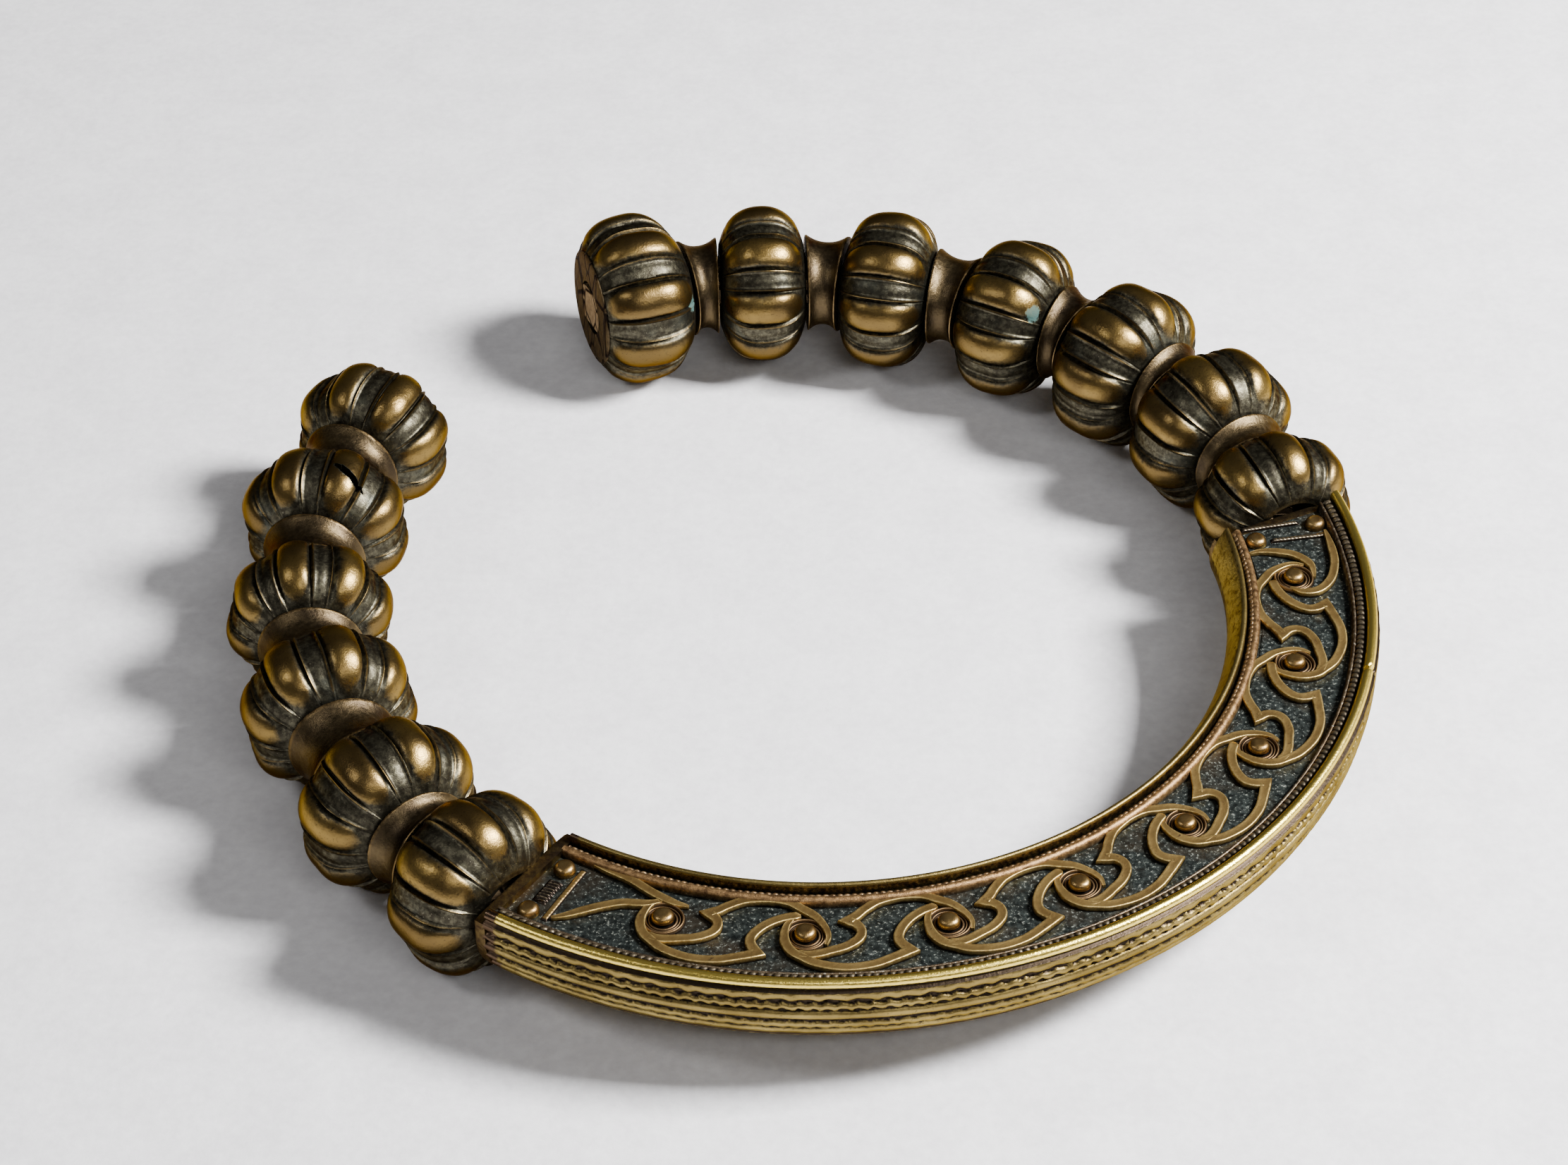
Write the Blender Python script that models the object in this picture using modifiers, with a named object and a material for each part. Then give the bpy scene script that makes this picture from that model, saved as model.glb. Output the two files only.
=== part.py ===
"""A beaded copper-alloy torc lying flat: two strings of hollow ribbed beads and spacer collars on square
rods, joined at the front by a curved tray whose sunken plate carries a running scroll. Metres, +Z up; the
ring's opening is at the back left."""

import math

import bmesh
import bpy
from mathutils import Matrix, Vector

MM = 0.001

# The gap that pieces lying against each other keep, in millimetres like every size below
CLEARANCE = 0.3

# The tray is a channel turned about its own upright axis, in so many steps a full turn. Each end is cut off
# along an upright plane, turned from the radius to lie along the face of the bead beside it
TRAY_CENTRE = (0.1, -3.8)
TRAY_START_DEG = 237.6
TRAY_END_DEG = 373.3
TRAY_START_TURN_DEG = -2.0
TRAY_END_TURN_DEG = 12.7
TURN_STEPS = 43
TRAY_MIDDLE_RADIUS = 68.0
TRAY_HALF_WIDTH = 10.4
TRAY_WIDEST_Z = 1.5
TRAY_DEPTH = 9.6
TRAY_UNDERSIDE_FLAT_DEG = 15
TRAY_WALL = 1.4
RIM_OUTER_WIDTH = 1.9
RIM_OUTER_TOP = 6.7
RIM_OUTER_FALL = 1.7
RIM_INNER_WIDTH = 0.7
RIM_INNER_TOP = 6.1
RIM_INNER_LEAN = 1.8
END_BLOCK_LENGTH = 3.2
LEDGE_WIDTH = 0.9

# The plate lies in the tray on two ledges. Its inner border is low, and its outer one climbs towards the
# rim; what is raised on the plate is rooted a little under its top
PLATE_TOP = 4.0
PLATE_THICKNESS = 1.0
PLATE_BORDER_WIDTH = 1.2
INNER_BORDER_RISE = 0.6
OUTER_BORDER_RISE = 1.4
OUTER_BORDER_CLIMB = 0.6
RELIEF_ROOT = 0.4

# The scroll: bosses a pitch apart on one circle, a little inwards of the tray's middle line, and two bands
# from each boss to the next
BOSS_COUNT = 8
BOSS_CIRCLE_INSET = 0.7
BOSS_START_DEG = 253.1
BOSS_PITCH_DEG = 15.63
BOSS_DISC_RADIUS = 2.6
BOSS_DISC_RISE = 0.45
BAND_WIDTH = 1.15
BAND_RISE = 0.85
# A band's middle line from one boss to the next: its points are shares of the distance between two bosses
# along the ring, and shares of half the plate's width outwards
LONG_STROKE = (
    (-0.106, -0.266), (-0.144, 0.000), (-0.117, 0.279), (-0.032, 0.519),
    (0.117, 0.671), (0.319, 0.721), (0.521, 0.582),
)
SHORT_STROKE = ((0.617, 0.152), (0.676, -0.139), (0.862, -0.367))
OUTER_CORNER = (0.633, 0.430)
INNER_CORNER = (0.660, 0.303)
TENDRIL_WIDTH = 0.92
LEFT_TENDRILS = (
    ((-0.054, -0.355), (-0.245, -0.240), (-0.414, -0.051), (-0.556, 0.303), (-0.675, 0.658)),
    ((0.131, -0.216), (0.022, -0.392), (-0.218, -0.531), (-0.490, -0.684), (-0.763, -0.709)),
)
RIGHT_TENDRILS = (
    ((-0.142, 0.051), (-0.103, 0.430), (0.049, 0.709), (0.251, 0.810), (0.490, 0.848)),
    ((-0.044, 0.355), (0.109, 0.341), (0.234, 0.127), (0.321, -0.202), (0.354, -0.557)),
)

# Domed rivets: one in each boss and two at each end of the plate
BOSS_RIVET_RADIUS = 1.35
BOSS_RIVET_RISE = 1.1
END_RIVET_RADIUS = 1.5
END_RIVET_RISE = 1.3
DOME_TOP_SHARE = 0.6
RIVET_SHANK_RADIUS = 0.7
RIVET_SIDES = 8
RIVET_HOLE_SIDES = 6
# Each end rivet: its distance from the tray's end and its gap to the plate's border on its own side
END_RIVETS = {
    "left_inner": (2.5, 1.1),
    "left_outer": (2.5, 0.7),
    "right_inner": (3.9, 0.6),
    "right_outer": (1.7, 0.5),
}

# Low bars across the plate near its ends: the end, the distance from it, the width, and what each bar stops
# short of on the inner and on the outer side
CROSS_BAR_RISE = 0.5
CROSS_BAR_GAP = 0.6
CROSS_BARS = (
    ("left", 2.6, 2.0, "rivet", "rivet"),
    ("left", 4.8, 0.7, "border", "border"),
    ("right", 3.9, 0.9, "rivet", "border"),
    ("right", 0.7, 0.9, "border", "rivet"),
)

# Each arm is a string of beads on an arc that sets off from the tray's end: the gap to its first bead, how
# far it stands out from the tray's middle line there, and how far it turns from that line. A bead row, from
# the tray outwards, gives the bead's radius, the half-length of its full oval, the turn of its lobes in
# degrees and the length of the collar after it
ROD_SIDE = 4.8
ROD_STEPS = 11
WEDGE_STEPS = 3
ROD_INTO_TRAY = 7.0
ROD_NOTCH_SPARE = 2.0
BEAD_FULLNESS = 2.5
BEAD_END_RADIUS = 7.0
BEAD_HOLE_RADIUS = 5.4
BEAD_WALL = 1.5
BEAD_LOBES = 8
LOBE_RISE = 0.8
LOBE_HALF_WIDTH_DEG = 12.0
TERMINAL_FACE_RADIUS = 9.0
TERMINAL_HOLE_RADIUS = 4.2
CAVITY_SIDES = 7
CAVITY_STEP = 0.2
CAVITY_SHOULDER = 0.4
COLLAR_RIM_RADIUS = 7.7
COLLAR_WAIST_RADIUS = 6.5
COLLAR_BORE_RADIUS = 4.7
COLLAR_SIDES = 10
ARMS = {
    "right": {
        "radius": 71.7,
        "gap": 1.8,
        "aside": 2.08,
        "turn_deg": -0.3,
        "way": 1,
        "beads": (
            (11.9, 7.5, 38, 6.0),
            (12.8, 8.03, 14, 5.0),
            (12.9, 8.22, 29, 5.6),
            (12.6, 7.9, 37, 6.7),
            (12.7, 7.61, 32, 6.5),
            (12.7, 7.3, 30, 5.7),
            (13.3, 8.65, 12, 0.0),
        ),
    },
    "left": {
        "radius": 86.1,
        "gap": 1.72,
        "aside": 0.82,
        "turn_deg": 11.2,
        "way": -1,
        "beads": (
            (12.7, 7.93, 43, 4.7),
            (12.7, 7.93, 18, 7.9),
            (12.4, 7.54, 13, 6.5),
            (11.9, 7.32, 36, 7.5),
            (12.3, 7.63, 20, 7.2),
            (11.8, 7.74, 29, 0.0),
        ),
    },
}
# The right arm's first bead sits a little askew, to meet the tray's end
ASKEW_BEAD = ("right", 1)
ASKEW_DEG = 7
ASKEW_OUTWARD = 0.4

# Damage: a tear in one bead's top, and a crack across the outer rim
TORN_BEAD = ("left", 5)
TEAR_LENGTH = 4.6
TEAR_WIDTH = 1.3
TEAR_TURN_DEG = 62
TEAR_OFFSET = (-1.7, -4.4)
CRACK_DEG = 346.6
CRACK_WIDTH = 0.35
CRACK_SLANT_DEG = 24
CRACK_DEPTH = 5.0

COLOURS = {
    "bead_bronze": ((0.30, 0.19, 0.07), 0.34),
    "collar_bronze": ((0.16, 0.11, 0.08), 0.38),
    "tray_brass": ((0.48, 0.35, 0.13), 0.32),
    "plate_patina": ((0.11, 0.10, 0.07), 0.50),
    "rivet_bronze": ((0.30, 0.18, 0.08), 0.30),
    "rod_metal": ((0.30, 0.22, 0.13), 0.55),
}


def clear_scene():
    for thing in list(bpy.data.objects):
        bpy.data.objects.remove(thing, do_unlink=True)


def make_collection(name):
    collection = bpy.data.collections.new(name)
    bpy.context.scene.collection.children.link(collection)
    return collection


def make_materials():
    """One plain metal for each finish"""
    made = {}
    for name, (colour, roughness) in COLOURS.items():
        material = bpy.data.materials.new(name)
        material.use_nodes = True
        shader = material.node_tree.nodes["Principled BSDF"]
        shader.inputs["Base Color"].default_value = (*colour, 1.0)
        shader.inputs["Metallic"].default_value = 1.0
        shader.inputs["Roughness"].default_value = roughness
        made[name] = material
    return made


def loft(rings):
    """A closed body whose sides join each ring of points to the next, with both end rings capped"""
    body = bmesh.new()
    rows = [[body.verts.new([value * MM for value in point]) for point in ring] for ring in rings]
    for row, after in zip(rows, rows[1:]):
        for k in range(len(row)):
            n = (k + 1) % len(row)
            body.faces.new((row[k], row[n], after[n], after[k]))
    body.faces.new(list(reversed(rows[0])))
    body.faces.new(rows[-1])
    bmesh.ops.recalc_face_normals(body, faces=body.faces)
    return body


def hoop(sections):
    """A closed ring: each section of points joined to the next, and the last one to the first"""
    body = bmesh.new()
    rows = [[body.verts.new([value * MM for value in point]) for point in section] for section in sections]
    for i, row in enumerate(rows):
        after = rows[(i + 1) % len(rows)]
        for k in range(len(row)):
            n = (k + 1) % len(row)
            body.faces.new((row[k], row[n], after[n], after[k]))
    bmesh.ops.recalc_face_normals(body, faces=body.faces)
    return body


def turned(name, outline, steps, collection, material=None, parent=None, closed=False):
    """A Screw modifier turns an outline of radii and heights about the object's own Z axis; an outline that
    isn't closed starts and ends on the axis"""
    wire = bmesh.new()
    corners = [wire.verts.new((radius * MM, 0.0, z * MM)) for radius, z in outline]
    for corner, after in zip(corners, corners[1:]):
        wire.edges.new((corner, after))
    if closed:
        wire.edges.new((corners[-1], corners[0]))
    thing = add_object(name, wire, collection, material, parent)
    screw = thing.modifiers.new("turn", "SCREW")
    screw.steps = steps
    screw.render_steps = steps
    screw.use_merge_vertices = True
    screw.merge_threshold = 0.00001
    screw.use_smooth_shade = True
    return thing


def add_object(name, body, collection, material=None, parent=None, smooth_deg=28):
    mesh = bpy.data.meshes.new(name)
    body.to_mesh(mesh)
    body.free()
    if material:
        mesh.materials.append(material)
    mesh.shade_smooth()
    mesh.set_sharp_from_angle(angle=math.radians(smooth_deg))
    thing = bpy.data.objects.new(name, mesh)
    thing.parent = parent
    collection.objects.link(thing)
    return thing


def as_cutter(thing):
    thing.hide_render = True
    thing.display_type = "WIRE"
    return thing


def boolean(thing, other, operation):
    modifier = thing.modifiers.new(operation.lower() + "_" + other.name, "BOOLEAN")
    modifier.operation = operation
    modifier.object = other
    modifier.solver = "EXACT"
    return modifier


def ring_point(degrees, radius, z):
    """A point of the tray, from its angle and radius about the tray's own centre"""
    turn = math.radians(degrees)
    return (TRAY_CENTRE[0] + radius * math.cos(turn), TRAY_CENTRE[1] + radius * math.sin(turn), z)


def from_end(end, distance):
    """The angle at a distance along the tray's middle line from its left or its right end"""
    turn = math.degrees(distance / TRAY_MIDDLE_RADIUS)
    return TRAY_START_DEG + turn if end == "left" else TRAY_END_DEG - turn


def end_line(end, inset):
    """Two points of the line that an end is cut along, a tray's width to either side of the middle line"""
    degrees = from_end(end, inset)
    facing = math.radians(degrees + (TRAY_START_TURN_DEG if end == "left" else TRAY_END_TURN_DEG))
    middle = Vector(ring_point(degrees, TRAY_MIDDLE_RADIUS, 0))
    reach = Vector((math.cos(facing), math.sin(facing), 0)) * 2 * TRAY_HALF_WIDTH
    return middle - reach, middle + reach


def sector_cutter(name, cutters, root, inset=0.0):
    """An upright wedge about the tray's axis between its two ends, each moved in by an inset"""
    first, last = from_end("left", inset), from_end("right", inset)
    turns = [first + (last - first) * k / WEDGE_STEPS for k in range(1, WEDGE_STEPS)]
    plan = []
    for k, reach in enumerate((-2 * TRAY_HALF_WIDTH, 2 * TRAY_HALF_WIDTH)):
        side = [end_line("left", inset)[k]]
        side += [Vector(ring_point(turn, TRAY_MIDDLE_RADIUS + reach, 0)) for turn in turns]
        side += [end_line("right", inset)[k]]
        plan += side if k == 0 else reversed(side)
    rings = [[(point.x, point.y, z) for point in plan] for z in (-2 * TRAY_DEPTH, 2 * TRAY_DEPTH)]
    return as_cutter(add_object(name, loft(rings), cutters, parent=root))


def turned_about_tray(name, outline, collection, material, root):
    """An outline turned all the way round the tray's axis"""
    thing = turned(name, outline, TURN_STEPS, collection, material, root, closed=True)
    thing.location = Vector((*TRAY_CENTRE, 0)) * MM
    return thing


def boss_circle():
    return TRAY_MIDDLE_RADIUS - BOSS_CIRCLE_INSET


def along_deg(distance):
    """The angle that a distance along the bosses' circle takes up"""
    return math.degrees(distance / boss_circle())


def half_oval(grow, count=6):
    """The tray's lower outline from its outer to its inner side, with a flat strip underneath"""
    last = math.pi / 2 - math.radians(TRAY_UNDERSIDE_FLAT_DEG)
    side = [last * i / (count // 2) for i in range(count // 2 + 1)]
    turns = side + [math.pi - turn for turn in reversed(side)]
    return [
        (TRAY_MIDDLE_RADIUS + (TRAY_HALF_WIDTH + grow) * math.cos(turn),
         TRAY_WIDEST_Z - (TRAY_DEPTH + grow) * math.sin(turn))
        for turn in turns
    ]


def trough_radii():
    """The inner faces of the inner and the outer rim"""
    inner = TRAY_MIDDLE_RADIUS - TRAY_HALF_WIDTH + RIM_INNER_LEAN + RIM_INNER_WIDTH
    outer = TRAY_MIDDLE_RADIUS + TRAY_HALF_WIDTH - RIM_OUTER_WIDTH
    return inner, outer


def plate_radii():
    """The plate's inner and outer edge, a clearance in from the rims"""
    inner, outer = trough_radii()
    return inner + CLEARANCE, outer - CLEARANCE


def plate_bottom():
    return PLATE_TOP - PLATE_THICKNESS


def make_tray(collection, cutters, material, root):
    """The D-shaped channel: rounded below, with a thick rolled outer rim, a thin inner rim that leans in,
    ledges for the plate, and a solid block at each end that the rods and end rivets go into"""
    inner, outer = trough_radii()
    ledge_z = plate_bottom() - CLEARANCE
    far = TRAY_MIDDLE_RADIUS + TRAY_HALF_WIDTH
    near = TRAY_MIDDLE_RADIUS - TRAY_HALF_WIDTH
    outline = half_oval(0.0)
    outline += [(near + 0.35 * RIM_INNER_LEAN, RIM_INNER_TOP - 1.5), (near + RIM_INNER_LEAN, RIM_INNER_TOP)]
    outline += [(inner, RIM_INNER_TOP - 0.2), (inner, ledge_z), (outer, ledge_z)]
    outline += [(outer, RIM_OUTER_TOP - 0.5), (outer + 0.3 * RIM_OUTER_WIDTH, RIM_OUTER_TOP)]
    outline += [(outer + 0.6 * RIM_OUTER_WIDTH, RIM_OUTER_TOP - 0.3), (far, RIM_OUTER_TOP - RIM_OUTER_FALL)]
    outline.reverse()
    tray = turned_about_tray("tray", outline, collection, material, root)
    boolean(tray, sector_cutter("tray_ends", cutters, root), "INTERSECT")
    hollow = half_oval(-TRAY_WALL)
    near_side, far_side = inner + LEDGE_WIDTH, outer - LEDGE_WIDTH
    hollow = [(min(max(radius, near_side), far_side), z) for radius, z in hollow[1:-1]]
    hollow = [(far_side, PLATE_TOP)] + hollow + [(near_side, PLATE_TOP)]
    hollow.reverse()
    body = as_cutter(turned_about_tray("tray_hollow", hollow, cutters, None, root))
    boolean(body, sector_cutter("hollow_ends", cutters, root, END_BLOCK_LENGTH), "INTERSECT")
    boolean(tray, body, "DIFFERENCE")
    boolean(tray, make_crack(cutters, root), "DIFFERENCE")
    return tray


def make_crack(cutters, root):
    """A thin slanting slot through the outer rim and down the wall"""
    _, outer = trough_radii()
    slot = bmesh.new()
    bmesh.ops.create_cube(slot, size=1.0)
    size = (3 * RIM_OUTER_WIDTH, CRACK_WIDTH, 2 * CRACK_DEPTH)
    bmesh.ops.scale(slot, vec=Vector(size) * MM, verts=slot.verts)
    cutter = as_cutter(add_object("rim_crack", slot, cutters, parent=root))
    place = ring_point(CRACK_DEG, outer + RIM_OUTER_WIDTH, RIM_OUTER_TOP)
    cutter.location = Vector(place) * MM
    cutter.rotation_euler = (0, 0, math.radians(CRACK_DEG + CRACK_SLANT_DEG))
    return cutter


def ribbon(line, boss_deg, width, low, high):
    """A flat-topped band along a line of distances from a boss, mitred at its corners"""
    half = width / 2
    rings = []
    for i, (x, y) in enumerate(line):
        before = line[max(i - 1, 0)]
        after = line[min(i + 1, len(line) - 1)]
        into = Vector((x - before[0], y - before[1]))
        out = Vector((after[0] - x, after[1] - y))
        if i == 0:
            into = out
        if i == len(line) - 1:
            out = into
        into.normalize()
        out.normalize()
        along = (into + out).normalized()
        reach = half / max(along.dot(into), 0.55)
        side = Vector((-along.y, along.x)) * reach
        ring = []
        for sign, z in ((1, low), (-1, low), (-1, high), (1, high)):
            angle = boss_deg + along_deg(x + sign * side.x)
            ring.append(ring_point(angle, boss_circle() + y + sign * side.y, z))
        rings.append(ring)
    return loft(rings)


def scroll_scale():
    """The distance between two bosses along their circle, and half the plate's width"""
    inner, outer = plate_radii()
    return math.radians(BOSS_PITCH_DEG) * boss_circle(), (outer - inner) / 2


def drawn(line):
    """A line of shares as distances from its boss, along the ring and outwards"""
    pitch, half = scroll_scale()
    return [(along * pitch, outwards * half) for along, outwards in line]


def band_lines():
    """The lines of the two bands that run from a boss to the next: the outer one, and the inner one, which
    is the same stroke turned half round about the point midway between the bosses"""
    outer = drawn((*LONG_STROKE, OUTER_CORNER, *SHORT_STROKE))
    stroke = (*LONG_STROKE, INNER_CORNER, *SHORT_STROKE)
    inner = drawn([(1 - along, -outwards) for along, outwards in stroke])
    return {"outer": outer, "inner": inner}


def boss_angles():
    return [BOSS_START_DEG + BOSS_PITCH_DEG * i for i in range(BOSS_COUNT)]


def upright_prism(degrees, radius_of_circle, radius, low, high, sides, name, collection, root):
    """An upright prism at a place on the tray, as a primitive cone with equal ends"""
    body = bmesh.new()
    bmesh.ops.create_cone(
        body, cap_ends=True, segments=sides, radius1=radius * MM, radius2=radius * MM, depth=(high - low) * MM
    )
    thing = add_object(name, body, collection, parent=root)
    thing.location = Vector(ring_point(degrees, radius_of_circle, (low + high) / 2)) * MM
    thing.rotation_euler = (0, 0, math.radians(degrees))
    return thing


def end_rivet_place(name):
    """An end rivet's angle and radius on the tray, from its end and from the border on its side"""
    end, side = name.split("_")
    distance, gap = END_RIVETS[name]
    inner, outer = plate_radii()
    reach = PLATE_BORDER_WIDTH + gap + END_RIVET_RADIUS
    return from_end(end, distance), inner + reach if side == "inner" else outer - reach


def cross_bar(end, distance, width, *stops):
    """A low bar across the plate near one end, between the rivets or the borders that it stops short of"""
    inner, outer = plate_radii()
    middle = from_end(end, distance)
    half = math.degrees(width / 2 / TRAY_MIDDLE_RADIUS)
    low, high = PLATE_TOP - RELIEF_ROOT, PLATE_TOP + CROSS_BAR_RISE
    rings = []
    for side, stop, way, border in (("inner", stops[0], 1, inner), ("outer", stops[1], -1, outer)):
        if stop == "rivet":
            radius = end_rivet_place(f"{end}_{side}")[1] + way * (END_RIVET_RADIUS + CROSS_BAR_GAP)
        else:
            radius = border + way * (PLATE_BORDER_WIDTH + CROSS_BAR_GAP)
        corners = ((middle - half, low), (middle + half, low), (middle + half, high), (middle - half, high))
        rings.append([ring_point(angle, radius, z) for angle, z in corners])
    return loft(rings)


def rivet_places():
    """Each rivet's name, angle, radius on the tray, dome radius, dome height and the height it sits on"""
    seat = PLATE_TOP + BOSS_DISC_RISE
    places = [
        (f"boss_rivet_{i + 1}", angle, boss_circle(), BOSS_RIVET_RADIUS, BOSS_RIVET_RISE, seat)
        for i, angle in enumerate(boss_angles())
    ]
    places += [
        (f"end_rivet_{name}", *end_rivet_place(name), END_RIVET_RADIUS, END_RIVET_RISE, PLATE_TOP)
        for name in END_RIVETS
    ]
    return places


def make_plate(collection, cutters, material, root):
    """The sunken plate with raised borders, bosses, scroll bands, end tendrils and rivet holes"""
    inner, outer = plate_radii()
    low, high = PLATE_TOP + INNER_BORDER_RISE, PLATE_TOP + OUTER_BORDER_RISE
    outline = [(outer, plate_bottom()), (outer, high + OUTER_BORDER_CLIMB)]
    outline += [(outer - PLATE_BORDER_WIDTH, high), (outer - 1.2 * PLATE_BORDER_WIDTH, PLATE_TOP)]
    outline += [(inner + 1.2 * PLATE_BORDER_WIDTH, PLATE_TOP)]
    outline += [(inner + PLATE_BORDER_WIDTH, low), (inner, low), (inner, plate_bottom())]
    outline.reverse()
    plate = turned_about_tray("plate", outline, collection, material, root)
    boolean(plate, sector_cutter("plate_ends", cutters, root), "INTERSECT")
    low, high = PLATE_TOP - RELIEF_ROOT, PLATE_TOP + BAND_RISE
    angles = boss_angles()
    pieces = []
    for i, angle in enumerate(angles[:-1]):
        for side, line in band_lines().items():
            pieces.append((f"band_{side}_{i + 1}", ribbon(line, angle, BAND_WIDTH, low, high)))
    for end, angle, lines in (("left", angles[0], LEFT_TENDRILS), ("right", angles[-1], RIGHT_TENDRILS)):
        for k, line in enumerate(lines):
            pieces.append((f"tendril_{end}_{k + 1}", ribbon(drawn(line), angle, TENDRIL_WIDTH, low, high)))
    for k, bar in enumerate(CROSS_BARS):
        pieces.append((f"cross_bar_{k + 1}", cross_bar(*bar)))
    for name, body in pieces:
        boolean(plate, as_cutter(add_object(name, body, cutters, parent=root)), "UNION")
    for i, angle in enumerate(angles):
        disc = upright_prism(
            angle, boss_circle(), BOSS_DISC_RADIUS, PLATE_TOP - RELIEF_ROOT, PLATE_TOP + BOSS_DISC_RISE,
            RIVET_SIDES, f"boss_disc_{i + 1}", cutters, root,
        )
        boolean(plate, as_cutter(disc), "UNION")
    return plate


def make_rivet_holes(plate, cutters, root):
    """Cuts a hole through the plate for each rivet's shank"""
    for name, angle, radius, *_ in rivet_places():
        hole = upright_prism(
            angle, radius, RIVET_SHANK_RADIUS + 2 * CLEARANCE, plate_bottom() - PLATE_THICKNESS,
            PLATE_TOP + 2 * PLATE_THICKNESS, RIVET_HOLE_SIDES,
            f"hole_{name}", cutters, root,
        )
        boolean(plate, as_cutter(hole), "DIFFERENCE")


def make_rivets(collection, material, root):
    """Domed heads on short shanks that end flush under the plate, each turned from its outline"""
    for name, angle, radius, dome, rise, seat in rivet_places():
        under = CLEARANCE
        foot = plate_bottom() - seat
        outline = [(0.0, rise), (dome * DOME_TOP_SHARE, rise), (dome, under), (RIVET_SHANK_RADIUS, under)]
        outline += [(RIVET_SHANK_RADIUS, foot), (0.0, foot)]
        rivet = turned(name, outline, RIVET_SIDES, collection, material, root)
        rivet.location = Vector(ring_point(angle, radius, seat)) * MM
        rivet.rotation_euler = (0, 0, math.radians(angle))


def oval_reach(x, radius, half_length):
    """The bead's radius at a distance along its axis: an oval that is fuller than an ellipse"""
    share = min(abs(x) / half_length, 1.0)
    return radius * (1 - share ** BEAD_FULLNESS) ** (1 / BEAD_FULLNESS)


def face_distance(radius, half_length, face_radius):
    """How far from its middle an oval bead is cut off flat, so that its end face has the given radius"""
    return half_length * (1 - (face_radius / radius) ** BEAD_FULLNESS) ** (1 / BEAD_FULLNESS)


def bead_stations(arm):
    """For each bead of an arm: its row, its angle on the arm's arc and the distance of its faces; each bead
    follows the last one by their half-lengths and the collar between them"""
    spec = ARMS[arm]
    _, first_deg = arm_arc(arm)
    stations = []
    distance = 0.0
    for i, (radius, half_length, turn, collar) in enumerate(spec["beads"]):
        reach = face_distance(radius, half_length, BEAD_END_RADIUS)
        if i:
            distance += reach
        angle = first_deg + spec["way"] * math.degrees(distance / spec["radius"])
        stations.append({"number": i + 1, "radius": radius, "half": half_length, "turn": turn,
                         "reach": reach, "deg": angle, "last": i == len(spec["beads"]) - 1})
        distance += reach + collar
    return stations


def arm_arc(arm):
    """The centre of an arm's arc and the angle of its first bead on it, both from the tray's end"""
    spec = ARMS[arm]
    end_deg = TRAY_END_DEG if spec["way"] > 0 else TRAY_START_DEG
    turn = math.radians(end_deg)
    outward = Vector((math.cos(turn), math.sin(turn)))
    onward = Vector((-math.sin(turn), math.cos(turn))) * spec["way"]
    radius, half_length = spec["beads"][0][:2]
    first = Vector(ring_point(end_deg, TRAY_MIDDLE_RADIUS, 0)[:2]) + outward * spec["aside"]
    first += onward * (spec["gap"] + face_distance(radius, half_length, BEAD_END_RADIUS))
    first_deg = end_deg + spec["way"] * spec["turn_deg"]
    facing = Vector((math.cos(math.radians(first_deg)), math.sin(math.radians(first_deg))))
    return first - facing * spec["radius"], first_deg


def arm_frame(arm, degrees):
    """The place on an arm's arc at an angle: local X runs on along the string, Z up, and Y to their left"""
    spec = ARMS[arm]
    centre, _ = arm_arc(arm)
    turn = math.radians(degrees)
    outward = Vector((math.cos(turn), math.sin(turn), 0))
    along = Vector((-math.sin(turn), math.cos(turn), 0)) * spec["way"]
    up = Vector((0, 0, 1))
    place = Vector((centre.x, centre.y, 0)) + outward * spec["radius"]
    frame = Matrix((along, up.cross(along), up)).transposed().to_4x4()
    frame.translation = place * MM
    return frame


def outward_side(arm):
    """Whether local Y points out of the ring or into it"""
    return -ARMS[arm]["way"]


def lobe_angles():
    """Round a bead: each lobe's lower edge, crest and upper edge"""
    angles = []
    for i in range(BEAD_LOBES):
        middle = 360 / BEAD_LOBES * i
        angles += [(middle - LOBE_HALF_WIDTH_DEG, 0.0), (middle, 1.0), (middle + LOBE_HALF_WIDTH_DEG, 0.0)]
    return angles


def bead_body(station, side):
    """An oval with raised lobes running from end to end, cut off flat at both ends; the turn of its lobes is
    measured from the ring's outer side upwards"""
    near = -station["reach"]
    far = station["reach"]
    if station["last"]:
        far = face_distance(station["radius"], station["half"], TERMINAL_FACE_RADIUS)
    rings = []
    for share in (0.0, 0.14, 0.5, 0.86, 1.0):
        x = near + (far - near) * share
        oval = oval_reach(x, station["radius"], station["half"])
        rise = LOBE_RISE * oval / station["radius"]
        ring = []
        for degrees, crest in lobe_angles():
            turn = math.radians(degrees + station["turn"])
            reach = oval - rise * (1 - crest)
            ring.append((x, side * reach * math.cos(turn), reach * math.sin(turn)))
        rings.append(ring)
    return loft(rings), near, far


def make_cavity(name, station, near, far, frame, cutters, root):
    """The bead's inside: a hole at each end and a wider room between them, a wall's thickness in"""
    shell = BEAD_WALL + LOBE_RISE
    far_hole = TERMINAL_HOLE_RADIUS if station["last"] else BEAD_HOLE_RADIUS
    room = BEAD_END_RADIUS - CAVITY_STEP
    shoulder = station["radius"] - shell - CAVITY_SHOULDER
    outline = [
        (0.0, far + BEAD_WALL), (far_hole, far + BEAD_WALL), (far_hole, far - BEAD_WALL),
        (room, far - BEAD_WALL - CAVITY_STEP), (shoulder, far / 2), (shoulder, near / 2),
        (room, near + BEAD_WALL + CAVITY_STEP), (BEAD_HOLE_RADIUS, near + BEAD_WALL),
        (BEAD_HOLE_RADIUS, near - BEAD_WALL), (0.0, near - BEAD_WALL),
    ]
    cavity = turned(name, outline, CAVITY_SIDES, cutters, parent=root)
    cavity.matrix_local = frame @ Matrix.Rotation(math.pi / 2, 4, "Y")
    return as_cutter(cavity)


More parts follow.
